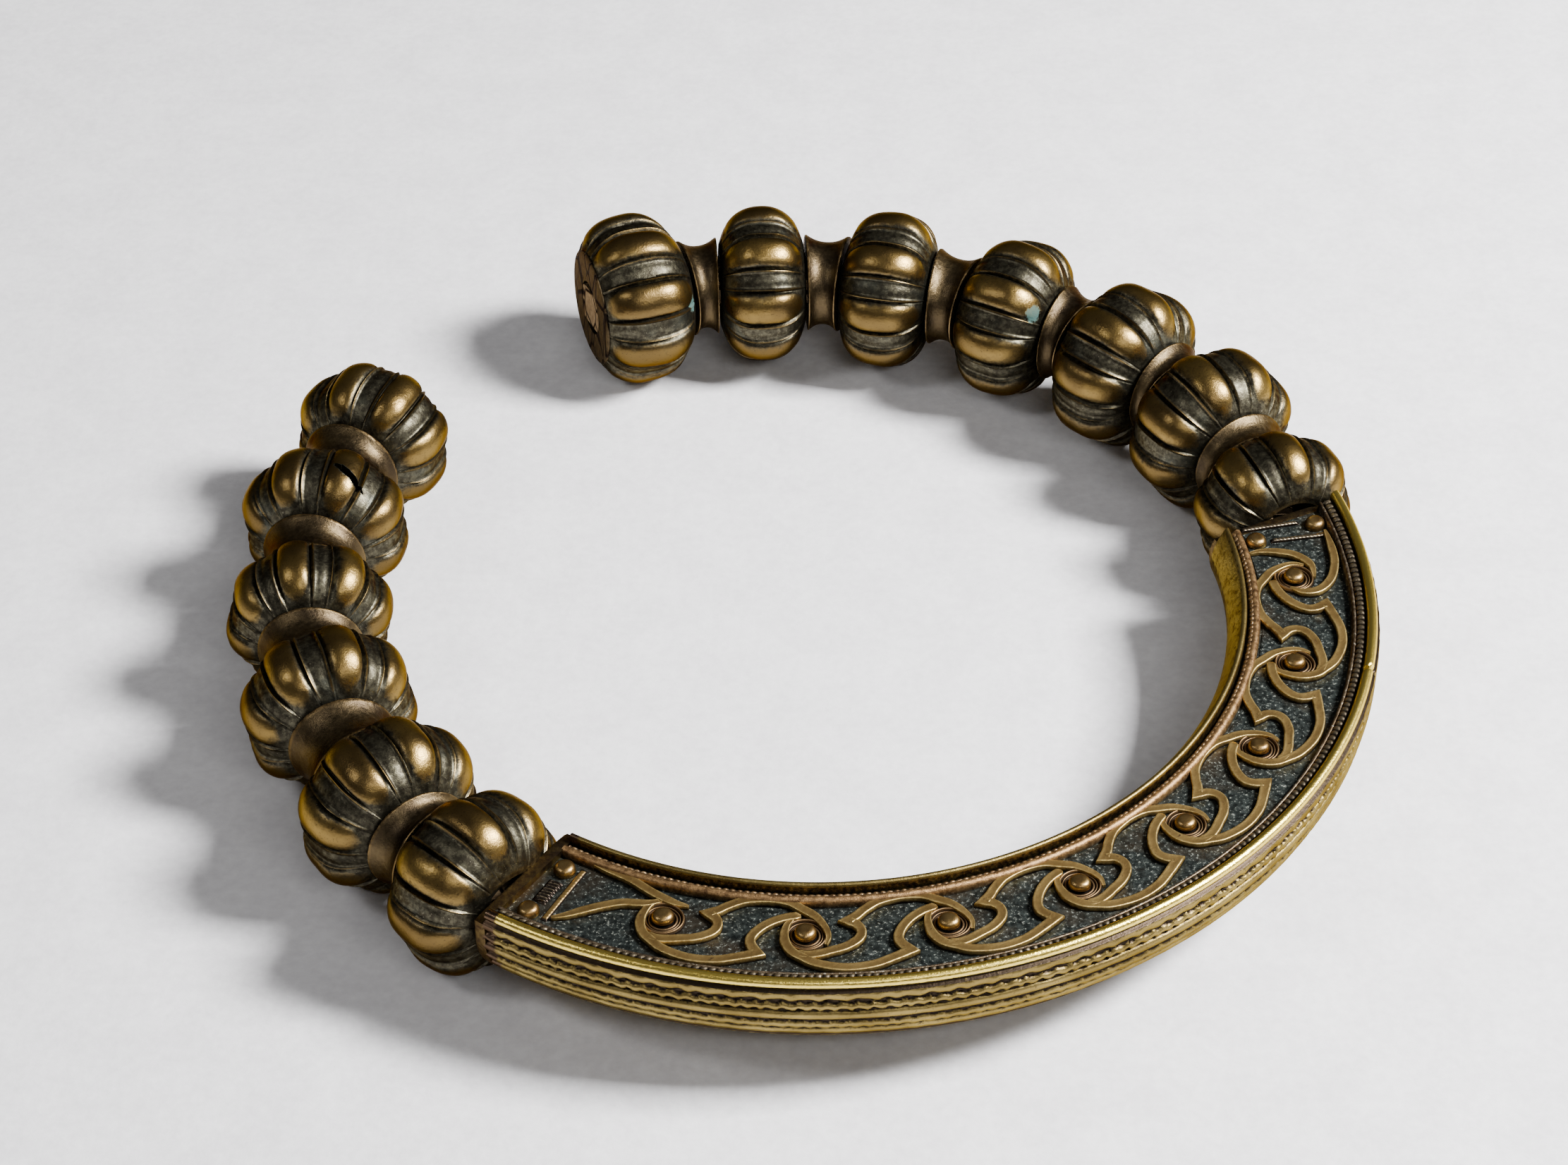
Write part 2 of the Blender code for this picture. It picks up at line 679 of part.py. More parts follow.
def make_tear(frame, radius, cutters, root):
    """The ragged slot torn in a bead's top"""
    slot = bmesh.new()
    bmesh.ops.create_cone(slot, cap_ends=True, segments=8, radius1=0.5, radius2=0.5, depth=1.0)
    bmesh.ops.scale(slot, vec=Vector((TEAR_LENGTH, TEAR_WIDTH, radius)) * MM, verts=slot.verts)
    cutter = as_cutter(add_object("bead_tear", slot, cutters, parent=root))
    lift = Matrix.Translation(Vector((TEAR_OFFSET[0], TEAR_OFFSET[1], radius)) * MM)
    cutter.matrix_local = frame @ lift @ Matrix.Rotation(math.radians(TEAR_TURN_DEG), 4, "Z")
    return cutter


def bead_frame(arm, station):
    """A bead's place on its arm's arc, a little askew where the string meets the tray"""
    frame = arm_frame(arm, station["deg"])
    if (arm, station["number"]) == ASKEW_BEAD:
        side = outward_side(arm)
        aside = Matrix.Translation(Vector((0, side * ASKEW_OUTWARD, 0)) * MM)
        frame = frame @ aside @ Matrix.Rotation(math.radians(-side * ASKEW_DEG), 4, "Z")
    return frame


def make_beads(arm, collection, cutters, material, root):
    for station in bead_stations(arm):
        number = station["number"]
        frame = bead_frame(arm, station)
        body, near, far = bead_body(station, outward_side(arm))
        bead = add_object(f"bead_{arm}_{number}", body, collection, material, root)
        bead.matrix_local = frame
        cavity = make_cavity(f"cavity_{arm}_{number}", station, near, far, frame, cutters, root)
        boolean(bead, cavity, "DIFFERENCE")
        if (arm, number) == TORN_BEAD:
            boolean(bead, make_tear(frame, station["radius"], cutters, root), "DIFFERENCE")


def collar_body(length, tilt_near, tilt_far):
    """A pulley-shaped ring whose two ends are tilted to lie along the faces of the beads beside it"""
    profile = [(-1, COLLAR_RIM_RADIUS), (0, COLLAR_WAIST_RADIUS), (1, COLLAR_RIM_RADIUS)]
    profile += [(1, COLLAR_BORE_RADIUS), (-1, COLLAR_BORE_RADIUS)]
    rows = []
    for k in range(COLLAR_SIDES):
        turn = 2 * math.pi * k / COLLAR_SIDES
        row = []
        for share, reach in profile:
            y = reach * math.cos(turn)
            near = -length / 2 + CLEARANCE - y * math.tan(tilt_near)
            far = length / 2 - CLEARANCE - y * math.tan(tilt_far)
            row.append(((near + far) / 2 + share * (far - near) / 2, y, reach * math.sin(turn)))
        rows.append(row)
    return hoop(rows)


def make_collars(arm, collection, material, root):
    stations = bead_stations(arm)
    for before, after in zip(stations, stations[1:]):
        first = bead_frame(arm, before) @ Matrix.Translation(Vector((before["reach"] * MM, 0, 0)))
        second = bead_frame(arm, after) @ Matrix.Translation(Vector((-after["reach"] * MM, 0, 0)))
        span = second.translation - first.translation
        along = span.normalized()
        up = Vector((0, 0, 1))
        frame = Matrix((along, up.cross(along), up)).transposed().to_4x4()
        frame.translation = (first.translation + second.translation) / 2
        tilts = []
        for face in (first, second):
            facing = frame.inverted().to_3x3() @ face.to_3x3() @ Vector((1, 0, 0))
            tilts.append(math.atan2(facing.y, facing.x))
        body = collar_body(span.length / MM, *tilts)
        collar = add_object(f"collar_{arm}_{before['number']}", body, collection, material, root)
        collar.matrix_local = frame


def make_rod(arm, collection, material, root):
    """The square bar that the beads are strung on, from the tray's end block to the last bead's face"""
    stations = bead_stations(arm)
    spec = ARMS[arm]
    last = stations[-1]
    far = face_distance(last["radius"], last["half"], TERMINAL_FACE_RADIUS)
    inwards = math.degrees((stations[0]["reach"] + ROD_INTO_TRAY) / spec["radius"])
    start = stations[0]["deg"] - spec["way"] * inwards
    end = last["deg"] + spec["way"] * math.degrees(far / spec["radius"])
    curve = bpy.data.curves.new(f"rod_{arm}", "CURVE")
    curve.dimensions = "3D"
    curve.bevel_depth = ROD_SIDE / math.sqrt(2) * MM
    curve.bevel_resolution = 0
    curve.use_fill_caps = True
    spline = curve.splines.new("POLY")
    spline.points.add(ROD_STEPS - 1)
    for k, point in enumerate(spline.points):
        place = arm_frame(arm, start + (end - start) * k / (ROD_STEPS - 1)).translation
        point.co = (*place, 1.0)
        point.tilt = math.radians(45)
    curve.materials.append(material)
    rod = bpy.data.objects.new(f"rod_{arm}", curve)
    rod.parent = root
    collection.objects.link(rod)


def make_rod_notches(tray, cutters, root):
    """Square notches in the tray's end blocks, open to the trough above, that the rods lie in"""
    width = ROD_SIDE + 4 * CLEARANCE
    top = PLATE_TOP - PLATE_THICKNESS / 2
    for arm, spec in ARMS.items():
        first = bead_stations(arm)[0]
        middle = first["reach"] + ROD_INTO_TRAY / 2
        degrees = first["deg"] - spec["way"] * math.degrees(middle / spec["radius"])
        notch = bmesh.new()
        bmesh.ops.create_cube(notch, size=1.0)
        size = (ROD_INTO_TRAY + 2 * ROD_NOTCH_SPARE, width, width / 2 + top)
        bmesh.ops.scale(notch, vec=Vector(size) * MM, verts=notch.verts)
        cutter = as_cutter(add_object(f"rod_notch_{arm}", notch, cutters, parent=root))
        frame = arm_frame(arm, degrees)
        frame.translation.z = (top - width / 2) / 2 * MM
        cutter.matrix_local = frame
        boolean(tray, cutter, "DIFFERENCE")


def stand_on_origin(root, collection):
    """Moves the whole torc so that the middle of its box is over the origin and it stands at height 0"""
    bpy.context.view_layer.update()
    graph = bpy.context.evaluated_depsgraph_get()
    corners = []
    for thing in collection.objects:
        if thing.type not in ("MESH", "CURVE"):
            continue
        evaluated = thing.evaluated_get(graph)
        mesh = evaluated.to_mesh()
        corners += [evaluated.matrix_world @ vertex.co for vertex in mesh.vertices]
        evaluated.to_mesh_clear()
    low = [min(corner[axis] for corner in corners) for axis in range(3)]
    high = [max(corner[axis] for corner in corners) for axis in range(3)]
    root.location = (-(low[0] + high[0]) / 2, -(low[1] + high[1]) / 2, -low[2])


def main():
    clear_scene()
    materials = make_materials()
    collection = make_collection("torc")
    cutters = make_collection("cutters")
    root = bpy.data.objects.new("torc_frame", None)
    collection.objects.link(root)
    tray = make_tray(collection, cutters, materials["tray_brass"], root)
    plate = make_plate(collection, cutters, materials["plate_patina"], root)
    make_rivet_holes(plate, cutters, root)
    make_rod_notches(tray, cutters, root)
    make_rivets(collection, materials["rivet_bronze"], root)
    for arm in ARMS:
        make_beads(arm, collection, cutters, materials["bead_bronze"], root)
        make_collars(arm, collection, materials["collar_bronze"], root)
        make_rod(arm, collection, materials["rod_metal"], root)
    stand_on_origin(root, collection)


main()
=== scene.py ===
# %% [markdown]
# This lesson dresses an ancient beaded torc, a neck ring of copper alloy that lies flat on pale
# paper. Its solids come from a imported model, and every surface below is laid over those solids in
# the same place and the same size. Sizes are in millimetres and repeat those of the model. A small
# helper turns them into metres at the end.

# %% Load the model
import math

import bpy
import numpy as np
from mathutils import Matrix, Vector


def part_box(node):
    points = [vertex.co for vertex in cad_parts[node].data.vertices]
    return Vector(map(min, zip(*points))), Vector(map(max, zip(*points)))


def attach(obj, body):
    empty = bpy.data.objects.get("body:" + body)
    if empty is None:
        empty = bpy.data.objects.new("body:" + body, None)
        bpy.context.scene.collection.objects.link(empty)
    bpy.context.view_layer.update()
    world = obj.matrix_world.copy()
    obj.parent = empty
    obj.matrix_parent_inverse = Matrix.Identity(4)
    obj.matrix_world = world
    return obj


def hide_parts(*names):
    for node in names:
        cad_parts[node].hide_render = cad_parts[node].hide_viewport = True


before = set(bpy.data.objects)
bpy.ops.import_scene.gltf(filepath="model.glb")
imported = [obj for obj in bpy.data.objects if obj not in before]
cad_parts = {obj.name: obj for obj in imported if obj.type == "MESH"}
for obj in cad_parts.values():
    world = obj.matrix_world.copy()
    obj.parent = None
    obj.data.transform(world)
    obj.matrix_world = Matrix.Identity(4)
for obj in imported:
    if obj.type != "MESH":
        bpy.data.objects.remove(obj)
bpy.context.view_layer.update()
MM = 0.001
print("solids:", len(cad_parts))

# %% [markdown]
# The ring was drawn about its own centre, but the model stands over the origin with its lowest bead
# on the ground. The eight small rivets lie on a known circle, so the middle of their boxes gives
# the step from one to the other.

# %% Find the step from the drawing to the model
TRAY_CENTRE = (0.1, -3.8)
TRAY_MIDDLE = 68.0
BOSS_CIRCLE = 67.3
BOSS_START_DEG = 253.1
BOSS_PITCH_DEG = 15.63
BOSS_COUNT = 8
PLATE_TOP = 4.0
DISC_RISE = 0.45
RIVET_RISE = 1.1
boss_degs = BOSS_START_DEG + BOSS_PITCH_DEG * np.arange(BOSS_COUNT)


def tray_point(degrees, radius, height):
    """Points of the tray: the angle and radius turn about the tray's own upright axis, and height is
    measured from the beads' middle."""
    turn = np.radians(degrees)
    x = TRAY_CENTRE[0] + radius * np.cos(turn)
    y = TRAY_CENTRE[1] + radius * np.sin(turn)
    return np.stack(np.broadcast_arrays(x, y, height), axis=-1)


def box_middle(node):
    low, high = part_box(node)
    return np.array([(low[0] + high[0]) / 2, (low[1] + high[1]) / 2, high[2]]) / MM


drawn = tray_point(boss_degs, BOSS_CIRCLE, PLATE_TOP + DISC_RISE + RIVET_RISE)
found = np.array([box_middle(f"boss_rivet_{k + 1}") for k in range(BOSS_COUNT)])
STEP = (found - drawn).mean(axis=0)
print("step from drawing to model, mm:", STEP.round(3), "spread", (found - drawn).std(axis=0).round(4))

# %% [markdown]
# Nearly every piece here is a grid of points that closes on itself: round a bead, along a rim,
# across a band. One helper therefore does all the joining. It closes the grid, counts the room
# inside to learn whether the faces look outwards, turns them if they don't, and keeps painted marks
# such as wear on the points for the materials.

# %% Grid helpers


def faces_of(rows, columns, ends):
    """Corner numbers of the faces of a grid whose columns close into a loop: four corners to each
    cell, and at the first and last row one flat face, a fan round a middle point, or a join of the
    last row to the first."""
    index = np.arange(rows * columns).reshape(rows, columns)
    if ends == "loop":
        index = np.vstack([index, index[:1]])
    index = np.hstack([index, index[:, :1]])
    cells = np.stack([index[:-1, :-1], index[:-1, 1:], index[1:, 1:], index[1:, :-1]], axis=-1).reshape(-1, 4)
    corners = [cells.ravel()]
    sizes = [np.full(len(cells), 4)]
    first, last = index[0, :-1], index[-1, :-1]
    if ends == "face":
        corners += [first[::-1], last]
        sizes += [np.array([columns, columns])]
    if ends == "fan":
        low = np.stack([np.full(columns, rows * columns), np.roll(first, -1), first], axis=-1)
        high = np.stack([np.full(columns, rows * columns + 1), last, np.roll(last, -1)], axis=-1)
        corners += [low.ravel(), high.ravel()]
        sizes += [np.full(2 * columns, 3)]
    return np.concatenate(corners), np.concatenate(sizes)


def room_inside(points, corners, sizes):
    """The volume inside a closed shell: the sum over its triangles of a . (b x c) / 6."""
    starts = np.concatenate([[0], np.cumsum(sizes)[:-1]])
    total = 0.0
    for step in range(1, int(sizes.max()) - 1):
        here = starts[sizes > step + 1]
        a, b, c = points[corners[here]], points[corners[here + step]], points[corners[here + step + 1]]
        total += np.einsum("ij,ij->i", a, np.cross(b, c)).sum() / 6
    return total


def grid_shell(points, ends="loop", **marks):
    """A closed shell from a grid of points (rows, columns, 3), with its marks (rows, columns)."""
    for turn in (1, -1):
        grid = points[:, ::turn]
        rows, columns = grid.shape[:2]
        corners, sizes = faces_of(rows, columns, ends)
        flat = grid.reshape(-1, 3)
        values = {name: np.broadcast_to(mark, (rows, columns))[:, ::turn].ravel()
                  for name, mark in marks.items()}
        if ends == "fan":
            flat = np.vstack([flat, grid[0].mean(axis=0), grid[-1].mean(axis=0)])
            values = {name: np.append(mark, (mark[:columns].mean(), mark[-columns:].mean()))
                      for name, mark in values.items()}
        if room_inside(flat, corners, sizes) > 0:
            return flat, corners, sizes, values
    raise ValueError("a shell has no room inside")


def add_piece(name, shells, material, stands_for=(), crease_deg=38):
    """One object from one or more closed shells, moved to the model's place and turned to metres."""
    points = np.vstack([shell[0] for shell in shells])
    before = np.cumsum([0] + [len(shell[0]) for shell in shells[:-1]])
    corners = np.concatenate([shell[1] + start for shell, start in zip(shells, before)])
    sizes = np.concatenate([shell[2] for shell in shells])
    mesh = bpy.data.meshes.new(name)
    mesh.vertices.add(len(points))
    mesh.vertices.foreach_set("co", ((points + STEP) * MM).astype(np.float32).ravel())
    mesh.loops.add(len(corners))
    mesh.loops.foreach_set("vertex_index", corners.astype(np.int32))
    mesh.polygons.add(len(sizes))
    mesh.polygons.foreach_set("loop_start", np.concatenate([[0], np.cumsum(sizes)[:-1]]).astype(np.int32))
    mesh.update(calc_edges=True)
    for mark in shells[0][3]:
        layer = mesh.attributes.new(mark, "FLOAT", "POINT")
        values = np.concatenate([shell[3][mark] for shell in shells])
        layer.data.foreach_set("value", values.astype(np.float32))
    mesh.shade_smooth()
    mesh.set_sharp_from_angle(angle=math.radians(crease_deg))
    mesh.materials.append(material)
    piece = bpy.data.objects.new(name, mesh)
    bpy.context.scene.collection.objects.link(piece)
    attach(piece, "root")
    if stands_for:
        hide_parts(*stands_for)
    print(name, "triangles:", int((sizes - 2).sum()))
    return piece


def rough_line(length, steps, reach, seed):
    """A smooth random line between about -1 and 1: a seeded sum of ever shorter waves."""
    rng = np.random.default_rng(seed)
    place = np.linspace(0, length, steps)
    total = np.zeros(steps)
    for octave in range(4):
        wave = reach / 2 ** octave
        phase = 2 * np.pi * place / wave * rng.uniform(0.8, 1.2) + rng.uniform(0, 6.28)
        total += np.sin(phase) * 0.6 ** octave
    return total / 2.2


# %% [markdown]
# The camera comes first, because the photograph fixes it: a long lens, well above the ring and
# looking down on it at forty degrees. It was found by fitting the outlines of the beads, so nothing
# here is framed by eye.

# %% Camera
CAMERA_PLACE = (-4.10, -417.66, 353.31)
camera_data = bpy.data.cameras.new("camera")
camera_data.lens = 89.07
camera_data.sensor_width = 36.0
camera_data.clip_start = 0.02
camera = bpy.data.objects.new("camera", camera_data)
camera.location = Vector((np.array(CAMERA_PLACE) + STEP) * MM)
camera.rotation_euler = (math.radians(50), 0, 0)
bpy.context.scene.collection.objects.link(camera)
bpy.context.scene.camera = camera
print("camera at", tuple(round(value, 4) for value in camera.location))

# %% [markdown]
# Metal shows its surroundings, so the lights matter as much as the colours. A broad box lights the
# ring from the right, and throws soft shadows to the left. Two much weaker ones fill from the left
# and from the front.

# %% Lights and paper
AIM = Vector((0.0, 0.0, 0.012))


def add_light(name, direction, distance, size, power):
    """A soft rectangular light that looks at the ring from a direction."""
    data = bpy.data.lights.new(name, "AREA")
    data.shape = "RECTANGLE"
    data.size, data.size_y = size
    data.energy = power
    light = bpy.data.objects.new(name, data)
    light.location = AIM + Vector(direction).normalized() * distance
    light.rotation_euler = (AIM - light.location).to_track_quat("-Z", "Y").to_euler()
    bpy.context.scene.collection.objects.link(light)
    return light


add_light("key_box", (0.70, -0.06, 0.70), 0.75, (0.20, 0.20), 24.5)
add_light("left_box", (-0.60, -0.25, 0.75), 0.80, (0.16, 0.16), 1.1)
add_light("front_fill", (0.25, -0.72, 0.72), 0.90, (0.40, 0.14), 1.6)
world = bpy.data.worlds.new("studio")
world.use_nodes = True
world.node_tree.nodes["Background"].inputs["Color"].default_value = (0.90, 0.90, 0.92, 1.0)
world.node_tree.nodes["Background"].inputs["Strength"].default_value = 0.10
bpy.context.scene.world = world

# %% [markdown]
# A material is a small tree of nodes. These short helpers keep each tree readable: one adds a node
# and fills its sockets, and the others name the few kinds of node that the metals are mixed from.

# %% Node helpers


def start_material(name):
    material = bpy.data.materials.new(name)
    material.use_nodes = True
    return material, material.node_tree, material.node_tree.nodes["Principled BSDF"]


def add_node(tree, kind, sockets, **settings):
    """A node with its settings, whose sockets take either a plain value or another node's output."""
    node = tree.nodes.new(kind)
    for key, value in settings.items():
        setattr(node, key, value)
    for key, value in sockets.items():
        if isinstance(value, bpy.types.NodeSocket):
            tree.links.new(value, node.inputs[key])
        else:
            node.inputs[key].default_value = value
    return node


def place_of(tree, stretch=(1, 1, 1)):
    """The point's own place on the object, in metres, stretched where a pattern is longer one way."""
    start = add_node(tree, "ShaderNodeTexCoord", {})
    moved = add_node(tree, "ShaderNodeMapping", {"Vector": start.outputs["Object"], "Scale": stretch})
    return moved.outputs["Vector"]


def grain(tree, place, size_mm, detail=4.0, roughness=0.55):
    """Noise whose blotches are about so many millimetres across."""
    node = add_node(tree, "ShaderNodeTexNoise",
                    {"Vector": place, "Scale": 1000.0 / size_mm, "Detail": detail, "Roughness": roughness})
    return node.outputs["Fac"]


def combine(tree, operation, first, second, clamp=False):
    node = add_node(tree, "ShaderNodeMath", {0: first, 1: second}, operation=operation, use_clamp=clamp)
    return node.outputs["Value"]


def spread(tree, value, low, high, new_low=0.0, new_high=1.0):
    """Maps a value from one range to another and stops at its ends."""
    sockets = {"Value": value, "From Min": low, "From Max": high, "To Min": new_low, "To Max": new_high}
    node = add_node(tree, "ShaderNodeMapRange", sockets)
    return node.outputs["Result"]


def ragged_wear_and_shade_edge(tree, height, noise, depth):
    """A height plus noise of this depth, so that a border of wear, and of the bands' painted shade, is
    ragged.
    """
    around_zero = combine(tree, "SUBTRACT", noise, 0.5)
    return combine(tree, "ADD", height, combine(tree, "MULTIPLY", around_zero, depth))


def blend(tree, share, first, second):
    """A colour between two others."""
    node = add_node(tree, "ShaderNodeMix", {}, data_type="RGBA")
    for key, value in (("Factor_Float", share), ("A_Color", first), ("B_Color", second)):
        socket = next(item for item in node.inputs if item.identifier == key)
        if isinstance(value, bpy.types.NodeSocket):
            tree.links.new(value, socket)
        else:
            socket.default_value = (*value, 1.0) if key != "Factor_Float" else value
    return next(item for item in node.outputs if item.identifier == "Result_Color")


def mark_of(tree, name):
    return add_node(tree, "ShaderNodeAttribute", {}, attribute_name=name).outputs["Fac"]


def bump(tree, shader, layers):
    """Small relief that only the light sees: each layer is a height and its depth in millimetres."""
    normal = None
    for height, depth_mm in layers:
        sockets = {"Height": height, "Distance": depth_mm * MM, "Strength": 1.0}
        if normal is not None:
            sockets["Normal"] = normal
        normal = add_node(tree, "ShaderNodeBump", sockets).outputs["Normal"]
    tree.links.new(normal, shader.inputs["Normal"])


EDGE_TINT = (0.42, 0.35, 0.26, 1.0)


def fill_surface(tree, shader, colour, roughness, metallic):
    """Fills the three main sockets, and dulls the white sheen of metal at a glancing angle."""
    shader.inputs["Specular Tint"].default_value = EDGE_TINT
    for key, value in (("Base Color", colour), ("Roughness", roughness), ("Metallic", metallic)):
        if isinstance(value, bpy.types.NodeSocket):
            tree.links.new(value, shader.inputs[key])
        else:
            shader.inputs[key].default_value = value


# %% [markdown]
# The floor is a sheet of pale grey paper with a hint of lilac. It is wide enough to fill the picture
# unless the camera is very low, and a very fine grain keeps it from looking like plastic.

# %% Paper floor
PAPER_HALF = 1.5
paper, tree, shader = start_material("paper")
place = place_of(tree)
fine = grain(tree, place, 1.6, 6.0, 0.6)
cloudy = grain(tree, place, 9.0, 5.0, 0.6)
fibres = combine(tree, "MULTIPLY", combine(tree, "ADD", fine, cloudy), 0.5)
colour = blend(tree, spread(tree, fibres, 0.38, 0.62), (0.74, 0.725, 0.745), (0.87, 0.86, 0.875))
fill_surface(tree, shader, colour, 0.9, 0.0)
bump(tree, shader, [(fibres, 0.12)])
mesh = bpy.data.meshes.new("floor")
mesh.from_pydata([(-PAPER_HALF, -PAPER_HALF, 0), (PAPER_HALF, -PAPER_HALF, 0), (PAPER_HALF, PAPER_HALF, 0),
                  (-PAPER_HALF, PAPER_HALF, 0)], [], [(0, 1, 2, 3)])
mesh.materials.append(paper)
floor = bpy.data.objects.new("floor", mesh)
bpy.context.scene.collection.objects.link(floor)
print("paper", 2 * PAPER_HALF, "m wide")

# %% [markdown]
# Beads: each is a hollow casting shaped like an egg cut off at both ends, with eight plump lobes
# running from end to end. A groove edges every lobe, and a wire-like ridge runs beside it, with a
# sunken grainy band between the ridges of two lobes. The bronze is rubbed golden on the lobes and
# dark green-grey in the hollows.

# %% Bead metal


def bead_metal(name, worn, middle, dark):
    """Dark patina in the hollows and worn metal on the crests, with noise that breaks their border."""
    material, tree, shader = start_material(name)
    place = place_of(tree)
    large = grain(tree, place, 8.0, 3.0)
    fine = grain(tree, place, 0.8, 6.0, 0.65)
    specks = grain(tree, place, 0.32, 3.0, 0.7)
    height = mark_of(tree, "crest")
    rubbed = ragged_wear_and_shade_edge(tree, ragged_wear_and_shade_edge(tree, height, fine, 0.8), large, 1.1)
    share = spread(tree, rubbed, 0.28, 0.72)
    warm = blend(tree, spread(tree, large, 0.36, 0.62), worn, middle)
    # Painted shade: the 'low' mark darkens the worn metal on the lower side of each bead.
    warm = blend(tree, mark_of(tree, "low"), warm, (0.105, 0.068, 0.024))
    hollow = blend(tree, spread(tree, fine, 0.42, 0.66), dark, (0.098, 0.090, 0.060))
    hollow = blend(tree, spread(tree, large, 0.55, 0.75, 0.0, 0.6), hollow, (0.078, 0.088, 0.074))
    hollow = blend(tree, spread(tree, specks, 0.65, 0.70, 0.0, 0.6), hollow, (0.30, 0.27, 0.19))
    colour = blend(tree, share, hollow, warm)
    pits = spread(tree, specks, 0.32, 0.40, 1.0, 0.0)
    colour = blend(tree, combine(tree, "MULTIPLY", pits, 0.6), colour, (0.025, 0.018, 0.012))
    green = combine(tree, "ADD", mark_of(tree, "bloom"), combine(tree, "SUBTRACT", fine, 0.5))
    green = spread(tree, green, 0.45, 0.62)
    colour = blend(tree, combine(tree, "MULTIPLY", green, 0.8), colour, (0.045, 0.105, 0.098))
    roughness = spread(tree, share, 0.0, 1.0, 0.40, 0.31)
    fill_surface(tree, shader, colour, roughness, spread(tree, green, 0.0, 1.0, 1.0, 0.0))
    bump(tree, shader, [(large, 0.16), (fine, 0.05), (specks, 0.025)])
    return material


bead_bronze = bead_metal("bead_bronze", (0.25, 0.165, 0.05), (0.135, 0.088, 0.032), (0.034, 0.030, 0.021))

# %% [markdown]
# A bead's surface is one function of two numbers: how far along its axis, and how far round. Its
# reach from the axis is an oval less the depth of the hollows. The lines round it lie closer where
# the groove and ridge are.

# %% Bead surface
LOBES = 8
LOBE_RISE = 0.8
LOBE_HALF_DEG = 12.4
RIDGE_DEG = 15.0
RIDGE_HALF_DEG = 0.95
GROOVE_DEG = 13.1
GROOVE_HALF_DEG = 0.7
END_RADIUS = 7.0
HOLE_RADIUS = 5.4
TERMINAL_FACE = 9.0
FULLNESS = 2.5
TERMINAL_HOLE = 4.2
BEAD_WALL = 1.5
ARMS = {
    "right": {
        "centre": (-3.5, 4.4), "radius": 71.7, "first_deg": 13.0, "way": 1,
        "beads": ((11.9, 7.5, 38, 6.0), (12.8, 8.03, 14, 5.0), (12.9, 8.22, 29, 5.6), (12.6, 7.9, 37, 6.7),
                  (12.7, 7.61, 32, 6.5), (12.7, 7.3, 30, 5.7), (13.3, 8.65, 12, 0.0)),
    },
    "left": {
        "centre": (15.1, 5.2), "radius": 86.1, "first_deg": 226.4, "way": -1,
        "beads": ((12.7, 7.93, 43, 4.7), (12.7, 7.93, 18, 7.9), (12.4, 7.54, 13, 6.5), (11.9, 7.32, 36, 7.5),
                  (12.3, 7.63, 20, 7.2), (11.8, 7.74, 29, 0.0)),
    },
}
ASKEW_BEAD = ("right", 1)
ASKEW_DEG = 7.0
ASKEW_OUTWARD = 0.4


def oval_reach(x, radius, half):
    """The radius of a full oval at x along its axis: radius * (1 - (x / half)^2.5)^(1/2.5)."""
    return radius * (1 - np.clip(np.abs(x) / half, 0, 1) ** FULLNESS) ** (1 / FULLNESS)


def face_distance(radius, half, face_radius):
    """Where an oval of this radius and half-length has narrowed to the face's radius."""
    return half * (1 - (face_radius / radius) ** FULLNESS) ** (1 / FULLNESS)


def bead_rows(arm):
    """Each bead of an arm with its angle on the arm's arc: a bead follows the last one by both their
    reaches and the collar between them."""
    spec = ARMS[arm]
    rows = []
    distance = 0.0
    for number, (radius, half, turn, collar) in enumerate(spec["beads"], 1):
        reach = face_distance(radius, half, END_RADIUS)
        distance += reach if rows else 0.0
        last = number == len(spec["beads"])
        rows.append({"number": number, "radius": radius, "half": half, "turn": turn, "near": -reach,
                     "far": face_distance(radius, half, TERMINAL_FACE) if last else reach, "last": last,
                     "deg": spec["first_deg"] + spec["way"] * math.degrees(distance / spec["radius"])})
        distance += reach + collar
    return rows


def arm_axes(arm, degrees):
    """The place on an arm's arc and its three directions: along the string, sideways and up."""
    spec = ARMS[arm]
    turn = math.radians(degrees)
    outward = np.array((math.cos(turn), math.sin(turn), 0.0))
    along = np.array((-math.sin(turn), math.cos(turn), 0.0)) * spec["way"]
    place = np.array((*spec["centre"], 0.0)) + outward * spec["radius"]
    up = np.array((0.0, 0.0, 1.0))
    return place, np.stack([along, np.cross(up, along), up])


def bead_axes(arm, row):
    """A bead's own place and directions; one bead of the right arm is moved and turned a little."""
    place, axes = arm_axes(arm, row["deg"])
    if (arm, row["number"]) == ASKEW_BEAD:
        side = -ARMS[arm]["way"]
        yaw = math.radians(-side * ASKEW_DEG)
        place = place + side * ASKEW_OUTWARD * axes[1]
        axes = np.stack([math.cos(yaw) * axes[0] + math.sin(yaw) * axes[1],
                         -math.sin(yaw) * axes[0] + math.cos(yaw) * axes[1], axes[2]])
    return place, axes


HALF_STEPS = (0, 2.8, 5.4, 7.8, 9.8, 11.2, 12.1, 12.7, 13.2, 13.8, 14.4, 15.0, 15.6, 16.5, 18.0, 20.2)
lobe_steps = np.array(sorted({-step for step in HALF_STEPS} | set(HALF_STEPS) | {22.5}))
round_degs = (np.arange(LOBES)[:, None] * 45.0 + lobe_steps[None, :]).ravel()
print("lines round a bead:", len(round_degs))

# %% [markdown]
# The height of the relief is a sum of simple bumps across a lobe. The lobe is a plump arch whose
# width closes to nothing near the bead's ends, the ridge is a narrow bell, and the groove beside it
# is a shallow dip.

# %% Relief across a lobe


